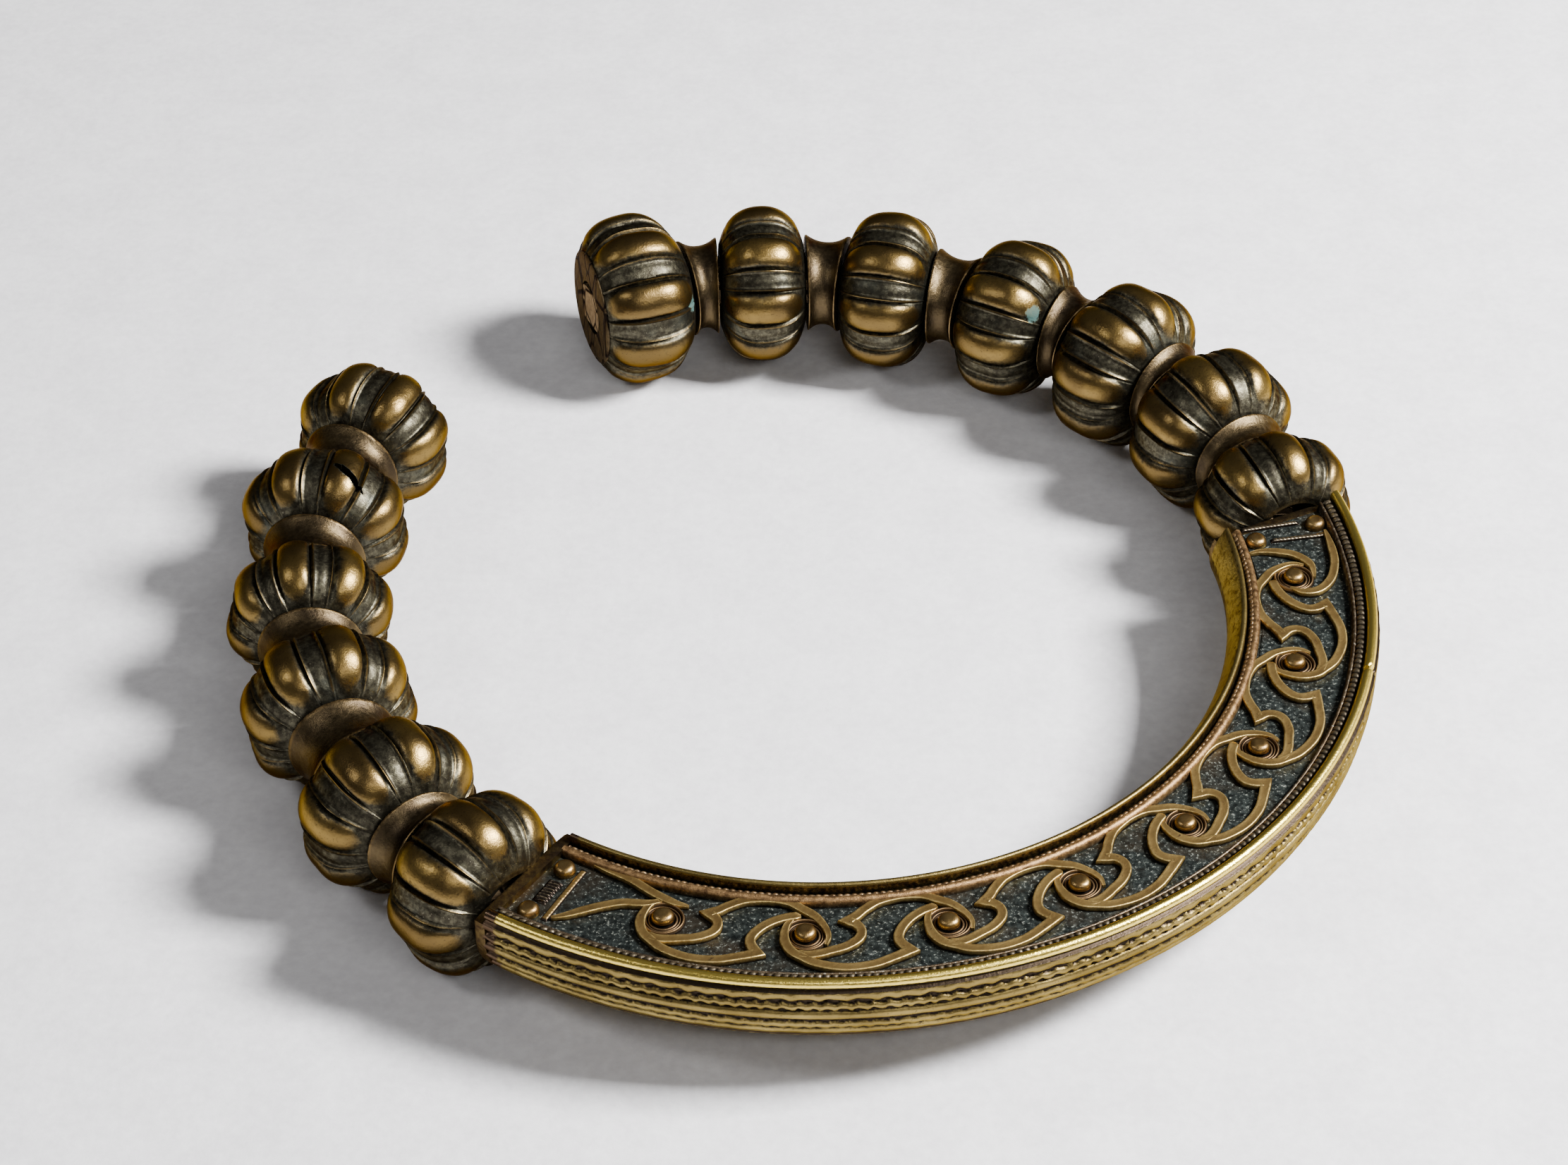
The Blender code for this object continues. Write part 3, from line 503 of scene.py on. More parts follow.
def relief(across, run, seed):
    """Height from 0 to about 1 at an angle across a lobe and a share of the way from the middle to
    the end: a lobe (1 - (a / w)^2.2)^0.55 whose half-width w stays even and rounds off near the ends
    as (1 - (run / 0.95)^8)^0.5, a ridge as a bell, and a groove between them."""
    rng = np.random.default_rng(seed)
    width = LOBE_HALF_DEG * np.sqrt(np.clip(1 - (np.abs(run) / 0.95) ** 8, 0.0004, 1))
    lobe = np.clip(1 - np.abs(across / width) ** 2.2, 0, 1) ** 0.55
    lobe = lobe * np.clip((0.96 - np.abs(run)) / 0.16, 0, 1) ** 0.5
    line = RIDGE_DEG * (1 + 0.02 * rng.normal())
    edge = np.abs(across) - line
    ridge = 0.46 * np.exp(-(edge / RIDGE_HALF_DEG) ** 2) * np.clip((1.0 - np.abs(run)) / 0.12, 0, 1)
    groove = -0.20 * np.exp(-((np.abs(across) - GROOVE_DEG) / GROOVE_HALF_DEG) ** 2)
    hollow = 0.10 * np.clip((np.abs(across) - line) / (22.5 - line), 0, 1) ** 2
    return lobe, ridge, lobe + ridge + groove + hollow


def bead_surface(row, side, seed):
    """The bead's outer face, end faces and inner wall as one closed grid, with its wear as a mark."""
    rng = np.random.default_rng(seed)
    near, far = row["near"], row["far"]
    turn = np.linspace(0, np.pi, 58)
    x = ((near + far) / 2 - (far - near) / 2 * np.cos(turn) * (0.62 + 0.38 * np.abs(np.cos(turn))))[:, None]
    across = np.tile(lobe_steps, LOBES)[None, :]
    phi = np.radians(round_degs + row["turn"])[None, :]
    run = np.clip(np.where(x < 0, x / abs(near), x / abs(far)), -1, 1)
    oval = oval_reach(x, row["radius"], row["half"])
    lobe, ridge, height = relief(across, run, seed)
    scale = 1.35 * LOBE_RISE * oval / row["radius"]
    waves = 0.07 * np.sin(2 * phi + rng.uniform(0, 6)) + 0.06 * np.sin(3 * phi + 0.25 * x + rng.uniform(0, 6))
    waves = waves + 0.05 * np.sin(0.9 * x + 5 * phi + rng.uniform(0, 6))
    reach = oval - scale * (1 - height) - 0.12 + waves
    reach = np.minimum(reach, oval)
    crest = np.clip(lobe * 0.85 + ridge * 1.15 + 0.05, 0, 1) * np.clip(1.25 - np.abs(run) ** 6, 0, 1)
    hole = TERMINAL_HOLE if row["last"] else HOLE_RADIUS
    room_x = np.linspace(far - BEAD_WALL - 0.1, near + BEAD_WALL + 0.1, 9)
    room = np.clip(oval_reach(room_x, row["radius"], row["half"]) - BEAD_WALL - LOBE_RISE - 0.2, 5.6, None)
    inner_x = np.concatenate([[far, far - BEAD_WALL], room_x, [near + BEAD_WALL, near]])
    inner_r = np.concatenate([[hole, hole], room, [HOLE_RADIUS, HOLE_RADIUS]])
    full = np.ones_like(phi)
    edge_r = 0.5 * (reach[-1:] + hole)
    edge_r0 = 0.5 * (reach[:1] + HOLE_RADIUS)
    xs = np.vstack([x * full, far * full, inner_x[:, None] * full, near * full])
    rs = np.vstack([reach, edge_r, inner_r[:, None] * full, edge_r0])
    marks = np.vstack([crest, 0 * edge_r, 0 * inner_r[:, None] * full, 0 * edge_r0])
    return np.stack([xs, side * rs * np.cos(phi), rs * np.sin(phi)], axis=-1), marks


# Blue-green corrosion: the bead, the place along its axis, outwards and up, and the patch's size
BLOOMS = {
    ("right", 7): ((-6.6, -8.2, 3.0), 1.5),
    ("right", 4): ((-6.3, -6.4, 6.8), 1.8),
}


def bloom_on(arm, row, points):
    """A patch of corrosion: 1 at its middle, falling off as exp(-(distance / size)^2)."""
    if (arm, row["number"]) not in BLOOMS:
        return np.zeros(points.shape[:2])
    (x, outward, z), size = BLOOMS[(arm, row["number"])]
    middle = np.array((x, -ARMS[arm]["way"] * outward, z))
    return np.exp(-((points - middle) ** 2).sum(axis=-1) / size ** 2)


def to_ring(points, place, axes):
    """Points in a piece's own directions, carried to the ring."""
    return place + points @ axes


for arm in ARMS:
    for row in bead_rows(arm):
        seed = row["number"] + (20 if arm == "left" else 0)
        place, axes = bead_axes(arm, row)
        points, wear = bead_surface(row, -ARMS[arm]["way"], seed)
        bloom = bloom_on(arm, row, points)
        # Painted shade: 'low' is 1 on the lower part of a bead and fades to 0 a little above its middle.
        low = np.clip(0.6 - points[..., 2] / 8.0, 0, 1)
        shell = grid_shell(to_ring(points, place, axes), "loop", crest=wear, bloom=bloom, low=low)
        name = f"bead_{arm}_{row['number']}"
        add_piece("ribbed_" + name, [shell], bead_bronze, (name,), 50)

# %% [markdown]
# One bead of the left arm is torn open on top. A hole can't be drawn into a grid of points without
# cutting its cells, so this is the one place where a Boolean is the better tool: a ragged prism is
# cut out of the bead, and the dark room inside shows through.

# %% The torn bead
TEAR_OFFSET = (-1.7, -4.4)
TEAR_LENGTH = 4.6
TEAR_WIDTH = 1.3
TEAR_TURN_DEG = 62.0


def tear_prism(place, axes, seed=5):
    """An upright prism over a ragged oval: an ellipse times 1 plus a little seeded noise."""
    rng = np.random.default_rng(seed)
    phi = np.linspace(0, 2 * np.pi, 26, endpoint=False)
    ragged = 1 + rng.uniform(-0.16, 0.16, 26)
    long = TEAR_LENGTH / 2 * np.cos(phi) * ragged
    wide = TEAR_WIDTH / 2 * np.sin(phi) * ragged
    turn = math.radians(TEAR_TURN_DEG)
    x = TEAR_OFFSET[0] + long * math.cos(turn) - wide * math.sin(turn)
    y = TEAR_OFFSET[1] + long * math.sin(turn) + wide * math.cos(turn)
    rows = [np.stack([x, y, np.full(26, height)], axis=-1) for height in (7.5, 14.5)]
    return grid_shell(to_ring(np.stack(rows), place, axes), "face")


def cut_out(piece, shell):
    """Cuts a closed shell out of a piece and keeps the result as the piece's own mesh."""
    points, corners, sizes, _ = shell
    mesh = bpy.data.meshes.new("cutter")
    starts = np.concatenate([[0], np.cumsum(sizes)])
    faces = [corners[a:b].tolist() for a, b in zip(starts, starts[1:])]
    mesh.from_pydata(((points + STEP) * MM).tolist(), [], faces)
    cutter = bpy.data.objects.new("cutter", mesh)
    bpy.context.scene.collection.objects.link(cutter)
    modifier = piece.modifiers.new("cut", "BOOLEAN")
    modifier.operation = "DIFFERENCE"
    modifier.solver = "EXACT"
    modifier.object = cutter
    graph = bpy.context.evaluated_depsgraph_get()
    result = bpy.data.meshes.new_from_object(piece.evaluated_get(graph))
    piece.modifiers.clear()
    piece.data = result
    bpy.data.objects.remove(cutter)
    print(piece.name, "cut; corners now:", len(result.vertices))


torn = bead_rows("left")[4]
cut_out(bpy.data.objects["ribbed_bead_left_5"], tear_prism(*bead_axes("left", torn)))

# %% [markdown]
# Collars: between two beads sits a little pulley. Its lips flare out to meet the beads, and its
# waist is hollowed. It is a closed outline turned about the string, but each end is tilted to lie
# along the face of its bead.

# %% Collar metal
collar_bronze, tree, shader = start_material("collar_bronze")
place = place_of(tree)
blotch = grain(tree, place, 5.0, 4.0)
fine = grain(tree, place, 0.7, 6.0, 0.65)
lip = mark_of(tree, "lip")
base = blend(tree, spread(tree, blotch, 0.35, 0.68), (0.042, 0.030, 0.018), (0.100, 0.072, 0.036))
share = combine(tree, "MULTIPLY", lip, spread(tree, fine, 0.3, 0.6), True)
share = combine(tree, "MULTIPLY", share, 0.7)
colour = blend(tree, share, base, (0.34, 0.22, 0.09))
fill_surface(tree, shader, colour, spread(tree, fine, 0.3, 0.7, 0.30, 0.48), 1.0)
bump(tree, shader, [(fine, 0.08)])

# %% Collars
COLLAR_RIM = 7.6
COLLAR_WAIST = 6.4
COLLAR_BORE = 4.7
COLLAR_GAP = 0.3


def collar_outline(steps=26):
    """Half-width share and radius round the pulley's closed outline: the waist is a parabola between
    the lips, and the lips are small round edges."""
    share = np.linspace(-1, 1, steps)
    waist = COLLAR_WAIST + (COLLAR_RIM - COLLAR_WAIST) * np.abs(share) ** 2.2
    waist[[0, -1]] -= 0.22
    u = np.concatenate([share * 0.98, [1.0, 1.0, 0.5, -0.5, -1.0, -1.0]])
    r = np.concatenate([waist, [COLLAR_RIM - 0.5, COLLAR_BORE, COLLAR_BORE, COLLAR_BORE, COLLAR_BORE,
                                COLLAR_RIM - 0.5]])
    lip = np.concatenate([np.clip((np.abs(share) - 0.86) / 0.12, 0, 1), [0.6, 0, 0, 0, 0, 0.6]])
    return u, r, lip


def collar_surface(length, tilt_near, tilt_far):
    """The outline turned about the string, its ends sheared by the two tilts."""
    u, r, lip = collar_outline()
    phi = np.linspace(0, 2 * np.pi, 80, endpoint=False)[:, None]
    y = r * np.cos(phi)
    near = -length / 2 + COLLAR_GAP - y * np.tan(tilt_near)
    far = length / 2 - COLLAR_GAP - y * np.tan(tilt_far)
    x = (near + far) / 2 + u * (far - near) / 2
    return np.stack([x, y, r * np.sin(phi)], axis=-1), lip * np.ones_like(phi)


for arm in ARMS:
    rows = bead_rows(arm)
    for before, after in zip(rows, rows[1:]):
        place_a, axes_a = bead_axes(arm, before)
        place_b, axes_b = bead_axes(arm, after)
        first = place_a + before["far"] * axes_a[0]
        second = place_b + after["near"] * axes_b[0]
        span = second - first
        along = span / np.linalg.norm(span)
        up = np.array((0.0, 0.0, 1.0))
        axes = np.stack([along, np.cross(up, along), up])
        tilts = [math.atan2(way @ axes[1], way @ axes[0]) for way in (axes_a[0], axes_b[0])]
        points, lip_mark = collar_surface(np.linalg.norm(span), *tilts)
        shell = grid_shell(to_ring(points, (first + second) / 2, axes), "loop", lip=lip_mark)
        name = f"collar_{arm}_{before['number']}"
        add_piece("pulley_" + name, [shell], collar_bronze, (name,), 45)

# %% [markdown]
# Tray: a channel of golden brass bent to an arc. Its outer wall carries a rolled rim and a stack of
# ridges below, some of them wavy, with dark dirt between. One closed outline is carried round the
# arc, and the ridges are cut into it as a depth that changes with height and, for the wavy ones,
# with the distance along the wall.

# %% Tray metal
tray_brass, tree, shader = start_material("tray_brass")
place = place_of(tree)
blotch = grain(tree, place, 6.0, 4.0)
fine = grain(tree, place, 0.8, 6.0, 0.65)
specks = grain(tree, place, 0.4, 3.0, 0.7)
high = mark_of(tree, "high")
shine = mark_of(tree, "shine")
brown = mark_of(tree, "brown")
ragged = ragged_wear_and_shade_edge(tree, high, fine, 1.0)
share = spread(tree, ragged, 0.50, 0.80)
gold = blend(tree, spread(tree, blotch, 0.35, 0.65), (0.27, 0.20, 0.068), (0.165, 0.118, 0.038))
gold = blend(tree, shine, gold, (0.80, 0.60, 0.13))
colour = blend(tree, share, (0.028, 0.020, 0.014), gold)
pits = spread(tree, specks, 0.30, 0.40, 0.7, 0.0)
pits = combine(tree, "MULTIPLY", pits, spread(tree, shine, 0.0, 1.0, 1.0, 0.25))
colour = blend(tree, pits, colour, (0.05, 0.035, 0.02))
colour = blend(tree, brown, colour, (0.085, 0.055, 0.035))
fill_surface(tree, shader, colour, spread(tree, shine, 0.0, 1.0, 0.40, 0.26), 1.0)
bump(tree, shader, [(fine, 0.05), (specks, 0.025)])

# %% Tray outline
TRAY_START_DEG, TRAY_END_DEG = 237.6, 373.3
START_TURN_DEG, END_TURN_DEG = -2.0, 12.7
HALF_WIDTH = 10.4
WIDEST_Z = 1.5
TRAY_DEPTH = 9.6
FLAT_Z = WIDEST_Z - TRAY_DEPTH * math.sin(math.radians(75))
TRAY_WALL = 1.4
ROLL_RADIUS, ROLL_Z, ROLL_SIZE = 77.24, 5.90, 0.74
INNER_LEAN = 1.8
TROUGH_IN, TROUGH_OUT = 60.1, 76.5
LEDGE_Z = 2.7
FAR, NEAR = TRAY_MIDDLE + HALF_WIDTH, TRAY_MIDDLE - HALF_WIDTH


def end_degs(radius):
    """The angles at which the two flat ends meet a radius. An end plane passes through the middle
    line, turned from the radius there, so at another radius it lies aside from that line by
    turn - asin(middle * sin(turn) / radius)."""
    found = []
    for degrees, turn in ((TRAY_START_DEG, START_TURN_DEG), (TRAY_END_DEG, END_TURN_DEG)):
        aside = TRAY_MIDDLE * math.sin(math.radians(turn))
        found.append(degrees + turn - np.degrees(np.arcsin(aside / radius)))
    return found


def degs_between_ends(radius, share):
    """The angle of each station: share 0 lies in the left end's plane, and share 1 in the right's."""
    start, end = end_degs(radius)
    return start + (end - start) * share[:, None]


def tray_outline():
    """The closed cross-section as radius and height: outer wall down, half oval underneath, inner
    wall up, inner rim, trough, and the outer rim as a roll; with a share that says how much of the
    relief each point takes."""
    wall_z = np.linspace(5.0, WIDEST_Z, 46)
    wall = np.stack([np.full(46, FAR), wall_z, np.ones(46)], axis=1)
    turn = np.radians(np.concatenate([np.linspace(0, 42, 58)[1:], np.linspace(42, 180, 26)[1:]]))
    under = np.stack([TRAY_MIDDLE + HALF_WIDTH * np.cos(turn),
                      np.maximum(WIDEST_Z - TRAY_DEPTH * np.sin(turn), FLAT_Z),
                      np.degrees(turn) < 41], axis=1)
    climb = np.linspace(0, 1, 14)[1:]
    inside = np.stack([NEAR + INNER_LEAN * climb ** 1.7,
                       WIDEST_Z + (6.0 - WIDEST_Z) * climb,
                       0 * climb], axis=1)
    crown = np.array([(59.58, 6.1, 0), (59.85, 6.1, 0), (60.03, 5.95, 0),
                      (TROUGH_IN, 5.6, 0), (TROUGH_IN, LEDGE_Z, 0)])
    hollow_turn = np.radians(np.linspace(165, 15, 11))
    hollow = np.stack([TRAY_MIDDLE + (HALF_WIDTH - TRAY_WALL) * np.cos(hollow_turn) * 0.9,
                       WIDEST_Z - (TRAY_DEPTH - TRAY_WALL) * np.sin(hollow_turn) * 0.93,
                       0 * hollow_turn], axis=1)
    ledge_in = np.array([(TROUGH_IN + 0.9, LEDGE_Z, 0)])
    ledge_out = np.array([(TROUGH_OUT - 0.9, LEDGE_Z, 0), (TROUGH_OUT, LEDGE_Z, 0), (TROUGH_OUT, 5.6, 0)])
    roll_turn = np.radians(np.linspace(190, -45, 15))
    roll = np.stack([ROLL_RADIUS + ROLL_SIZE * np.cos(roll_turn), ROLL_Z + ROLL_SIZE * np.sin(roll_turn),
                     0 * roll_turn], axis=1)
    groove = np.array([(77.60, 5.40, 0), (77.70, 5.26, 0), (78.10, 5.16, 0), (78.28, 5.06, 0)])
    sizes = [len(wall), len(under), len(inside), len(crown), 1, len(hollow), len(ledge_out), len(roll),
             len(groove)]
    names = ("wall", "under", "inside", "crown", "ledge_in", "hollow", "ledge_out", "roll", "groove")
    part = np.repeat(names, sizes)
    return np.vstack([wall, under, inside, crown, ledge_in, hollow, ledge_out, roll, groove]), part


outline, part_of = tray_outline()
print("outline points:", len(outline))

# %% [markdown]
# The stations along the arc are even, with more of them at the crack in the rim. Two short runs at
# the ends mark the solid blocks. There the trough's floor is lifted to the ledge, so the ends come
# out closed, as on the casting.

# %% Tray relief and mesh
RIDGES = ((4.48, 0.82, 0.18, 3.2), (2.65, 0.62, 0.22, 1.8), (1.0, 0.80, 0.0, 3.0), (-1.0, 0.76, 0.20, 1.9),
          (-2.95, 0.86, 0.10, 3.6))
WALL_DEPTH = 0.55
STATIONS = 500
CRACK_DEG = 346.6
CRACK_SLANT_DEG = 24.0
BLOCK_SHARE = 3.2 / (math.radians(TRAY_END_DEG - TRAY_START_DEG) * TRAY_MIDDLE)


def wave(distance, pitch, seed):
    """An uneven wave: a sine whose phase drifts, plus a shorter one."""
    drift = rough_line(distance[-1], len(distance), 26.0, seed)
    long_wave = np.sin(2 * np.pi * distance / pitch + 2.2 * drift)
    short_wave = np.sin(2 * np.pi * distance / (0.57 * pitch) + seed)
    return long_wave + 0.35 * short_wave


def wall_relief(height, distance):
    """How high a point stands between the groove floor, 0, and the ridge crest, 1: the highest of the
    ridges, each an arch about its own line, which waves with the distance along the wall."""
    best = np.zeros((len(distance), len(height)))
    for k, (middle, half, swing, pitch) in enumerate(RIDGES):
        line = middle + swing * wave(distance, pitch, k + 3)[:, None]
        width = half * (1 + 0.12 * rough_line(distance[-1], len(distance), 9.0, k + 11)[:, None])
        arch = np.clip(1 - (np.abs(height[None, :] - line) / width) ** 2.6, 0, 1)
        best = np.maximum(best, arch ** 0.7)
    return best


share = np.linspace(0, 1, STATIONS)
crack_share = (CRACK_DEG - TRAY_START_DEG) / (TRAY_END_DEG - TRAY_START_DEG)
block_edges = [BLOCK_SHARE, BLOCK_SHARE + 1e-4, 1 - BLOCK_SHARE - 1e-4, 1 - BLOCK_SHARE]
share = np.sort(np.concatenate([share, crack_share + np.linspace(-0.006, 0.006, 31), block_edges]))
radius = np.tile(outline[:, 0], (len(share), 1))
height = np.tile(outline[:, 1], (len(share), 1))
along = share * math.radians(TRAY_END_DEG - TRAY_START_DEG) * FAR
rise = wall_relief(outline[:, 1], along)
cut = WALL_DEPTH * (1 - rise) * outline[:, 2]
fade = np.clip((outline[:, 1] + 4.9) / 0.6, 0, 1)
lean = np.clip((WIDEST_Z - outline[:, 1]) / TRAY_DEPTH, 0, 1)
radius -= cut * fade * np.sqrt(1 - lean ** 2)
height += cut * fade * lean
block = (share < BLOCK_SHARE + 5e-5) | (share > 1 - BLOCK_SHARE - 5e-5)
height = np.where((part_of == "hollow")[None, :] & block[:, None], LEDGE_Z - 0.05, height)
degrees = degs_between_ends(radius, share)
off = np.radians(degrees - CRACK_DEG) * FAR - (radius - FAR) * math.tan(math.radians(CRACK_SLANT_DEG))
crack = np.exp(-(off / 0.20) ** 2) * np.clip((outline[:, 1] - 1.8) / 1.2, 0, 1) * (outline[:, 0] > 76.4)
radius -= 0.55 * crack * (radius > 77.3)
height -= 1.3 * crack * (height > 5.3)
relief_mark = np.where(outline[:, 2] > 0, 0.10 + 0.95 * rise ** 0.65, 0.75)
relief_mark = np.where((part_of == "under")[None, :] & (outline[:, 2] == 0)[None, :], 0.62, relief_mark)
relief_mark = np.where((part_of == "crown")[None, :] & (outline[:, 1] > 5.8)[None, :], 1.1, relief_mark)
relief_mark = np.where((part_of == "roll")[None, :], 1.4, relief_mark)
relief_mark = np.where((part_of == "crown")[None, :] & (outline[:, 1] < 5.8)[None, :], 0.58, relief_mark)
relief_mark = np.where((part_of == "groove")[None, :], 0.35, relief_mark)
relief_mark = relief_mark * (1 - crack)
shine_mark = ((part_of == "roll") * 1.0)[None, :] * (1 - crack)
brown_mark = np.clip(1 - (share - 0.0085) / 0.0015, 0, 1)[:, None] * np.ones(len(outline))
tray_shell = grid_shell(tray_point(degrees, radius, height), "face", high=relief_mark, shine=shine_mark,
                        brown=brown_mark)

# %% [markdown]
# Where the tray meets a bead, each of its ends has a thin dark flange, which closes the channel's
# mouth. It is the tray's own outline with a straight top instead of the trough, carried a little
# way off along the end plane's own direction.

# %% End flanges
FLANGES = (("left", 0, 1.45, 5.1, 1), ("right", 1, 1.20, 4.10, -1))


def end_flange(which, thickness, top, way):
    """A closed plate: the tray's outer line up to a straight top, moved off the end plane along its
    normal, and drawn in a little towards its middle at the outer face."""
    keep = outline[np.isin(part_of, ("wall", "under", "inside")) & (outline[:, 1] < top)]
    lid = np.stack([np.linspace(keep[-1, 0], keep[0, 0], 14)[1:-1], np.full(12, top), np.zeros(12)], axis=1)
    loop = np.vstack([keep, lid])
    middle = loop[:, :2].mean(axis=0)
    facing = math.radians((TRAY_START_DEG + START_TURN_DEG, TRAY_END_DEG + END_TURN_DEG)[which])
    normal = np.array((math.sin(facing), -math.cos(facing), 0.0)) * way
    rows = []
    for far, size in ((-0.2, 0.985), (0.8 * thickness, 0.985), (thickness, 0.96)):
        line = middle + (loop[:, :2] - middle) * size
        rows.append(tray_point(end_degs(line[:, 0])[which], line[:, 0], line[:, 1]) + normal * far)
    points = np.stack(rows)
    flat = np.zeros(points.shape[:2])
    return grid_shell(points, "face", high=flat + 0.62, shine=flat, brown=flat + 0.55)


flanges = [end_flange(*numbers) for _, *numbers in FLANGES]
add_piece("ridged_tray", [tray_shell, *flanges], tray_brass, ("tray",), 50)

# %% [markdown]
# Plate: the sunken plate is dark with age. A red-brown moulding edges it on the inside, and a thin
# ridge and a milled strip on the outside. The base is again an outline carried round the arc.

# %% Plate metal
plate_patina, tree, shader = start_material("plate_patina")
place = place_of(tree)
blotch = grain(tree, place, 7.0, 4.0)
fine = grain(tree, place, 0.9, 6.0, 0.7)
sparkle = grain(tree, place, 0.45, 4.0, 0.75)
copper = mark_of(tree, "copper")
ground = blend(tree, spread(tree, fine, 0.38, 0.66), (0.018, 0.022, 0.021), (0.062, 0.074, 0.069))
ground = blend(tree, spread(tree, blotch, 0.50, 0.72, 0.0, 0.7), ground, (0.075, 0.055, 0.034))
ground = blend(tree, spread(tree, sparkle, 0.59, 0.64), ground, (0.32, 0.34, 0.30))
red = blend(tree, spread(tree, fine, 0.35, 0.65), (0.11, 0.060, 0.028), (0.31, 0.19, 0.085))
colour = blend(tree, copper, ground, red)
fill_surface(tree, shader, colour, spread(tree, fine, 0.3, 0.7, 0.34, 0.52), 0.9)
bump(tree, shader, [(fine, 0.06), (sparkle, 0.03)])

# %% Plate base
PLATE_BOTTOM = 3.0
PLATE_IN, PLATE_OUT = TROUGH_IN + 0.3, TROUGH_OUT - 0.3


def plate_outline():
    """Radius, height and copper share round the plate's cross-section: a convex inner moulding, the
    flat ground, a thin ridge, and the seat of the milled strip."""
    turn = np.radians(np.linspace(180, 0, 15))
    moulding = np.stack([61.34 + 0.66 * np.cos(turn), 4.45 + 0.75 * np.sin(turn), np.ones(15)], axis=1)
    gap = np.array([(62.02, 3.86, 0), (62.25, 3.86, 0), (62.35, PLATE_TOP, 0)])
    ground = np.stack([np.linspace(62.5, 74.4, 30), np.full(30, PLATE_TOP), np.zeros(30)], axis=1)
    turn = np.radians(np.linspace(150, 0, 8))
    ridge = np.stack([74.92 + 0.24 * np.cos(turn), 5.1 + 0.26 * np.sin(turn), np.full(8, 0.35)], axis=1)
    edge = np.array([(75.18, 5.0, 0.1), (PLATE_OUT, 5.45, 0.1), (PLATE_OUT, PLATE_BOTTOM, 0),
                     (70.0, PLATE_BOTTOM, 0), (65.0, PLATE_BOTTOM, 0), (PLATE_IN, PLATE_BOTTOM, 0),
                     (PLATE_IN, 3.9, 0.3), (60.68, 3.9, 0.3)])
    return np.vstack([moulding, gap, ground, ridge, edge])


def carry_round(outline, share):
    """An outline carried round the tray's arc between its two flat ends."""
    radius, height = outline[None, :, 0], outline[None, :, 1]
    return tray_point(degs_between_ends(radius, share), radius, height)


outline = plate_outline()
share = np.linspace(0, 1, 420)
copper_mark = np.broadcast_to(outline[None, :, 2], (len(share), len(outline)))
shell = grid_shell(carry_round(outline, share), "face", copper=copper_mark)
add_piece("plate_base", [shell], plate_patina, ("plate",), 40)

# %% [markdown]
# The milled strip looks like a twisted cord pressed flat: leaning ribs a millimetre apart. On the
# inner side a row of fine teeth edges the moulding. Both need many stations, so they are narrow
# pieces of their own rather than a finer plate.

# %% Milled strip and teeth
strip_metal, tree, shader = start_material("strip_metal")
place = place_of(tree)
fine = grain(tree, place, 0.8, 5.0, 0.65)
high = mark_of(tree, "high")
share_of_high = spread(tree, ragged_wear_and_shade_edge(tree, high, fine, 0.7), 0.35, 0.9)
colour = blend(tree, share_of_high, (0.024, 0.018, 0.014), (0.36, 0.29, 0.19))
fill_surface(tree, shader, colour, 0.36, 1.0)
bump(tree, shader, [(fine, 0.05)])


def ribbed_strip(low_radius, high_radius, base, climb, rise, pitch, lean, seed, columns=8, per_rib=6):
    """A low strip carried round the arc, whose arched top is cut by ribs: the height is a sloping
    base plus an arch across the strip times the square root of a rectified sine along it, leaned by
    shifting its phase."""
    length = math.radians(TRAY_END_DEG - TRAY_START_DEG) * low_radius
    count = int(length / pitch)
    share = np.linspace(0.004, 0.996, count * per_rib + 1)
    across = np.linspace(0, 1, columns)
    arch = np.sin(np.pi * np.clip(across, 0.04, 0.96)) ** 0.5
    phase = np.pi * (share[:, None] * count + lean * across[None, :])
    rib = np.sqrt(np.abs(np.sin(phase)))
    wear = 0.85 + 0.15 * rough_line(length, len(share), 14.0, seed)[:, None]
    floor = base + climb * across[None, :]
    height = floor + rise * arch[None, :] * (0.25 + 0.75 * rib) * wear
    radius = np.broadcast_to(low_radius + (high_radius - low_radius) * across, height.shape)
    radius = np.hstack([radius, np.full((len(share), 1), high_radius), np.full((len(share), 1), low_radius)])
    sides = np.broadcast_to((base + climb - 0.3, base - 0.3), (len(share), 2))
    height = np.hstack([height, sides])
    mark = np.hstack([rib * arch, np.zeros((len(share), 2))])
    degrees = degs_between_ends(radius, share)
    return grid_shell(tray_point(degrees, radius, height), "face", high=mark, copper=mark)


milled = ribbed_strip(75.12, 76.18, 5.22, 0.50, 0.50, 1.0, 0.5, 5)
teeth = ribbed_strip(60.42, 61.10, 4.58, 0.30, 0.45, 0.92, 0.2, 6, 7)
add_piece("milled_strip", [milled], strip_metal, (), 60)
add_piece("moulding_teeth", [teeth], plate_patina, (), 60)

# %% [markdown]
# The scroll: from boss to boss run two flat-topped bands, each bent into a sharp corner halfway. A
# smooth curve passes through a few named points, and a flat profile with softened shoulders follows
# it. The ends thin out where a band melts into the rings of a boss.

# %% Band metal
band_metal, tree, shader = start_material("band_metal")
place = place_of(tree)
blotch = grain(tree, place, 4.0, 4.0)
fine = grain(tree, place, 0.7, 6.0, 0.65)
high = mark_of(tree, "high")
warm = blend(tree, spread(tree, blotch, 0.35, 0.65), (0.31, 0.205, 0.072), (0.19, 0.118, 0.040))
warm = blend(tree, spread(tree, fine, 0.62, 0.70), warm, (0.10, 0.06, 0.03))
# Painted shadow: where the 'high' mark is low, on a band's steep side walls, the colour goes near black.
edge = spread(tree, ragged_wear_and_shade_edge(tree, high, fine, 0.35), 0.3, 0.6)
# Painted highlight: the 'worn' mark paints a bright gold line along both top edges of a band.
worn = mark_of(tree, "worn")
warm = blend(tree, combine(tree, "MULTIPLY", worn, spread(tree, fine, 0.36, 0.6)), warm, (0.56, 0.41, 0.15))
fill_surface(tree, shader, blend(tree, edge, (0.018, 0.013, 0.010), warm), 0.42, 0.92)
bump(tree, shader, [(fine, 0.06)])

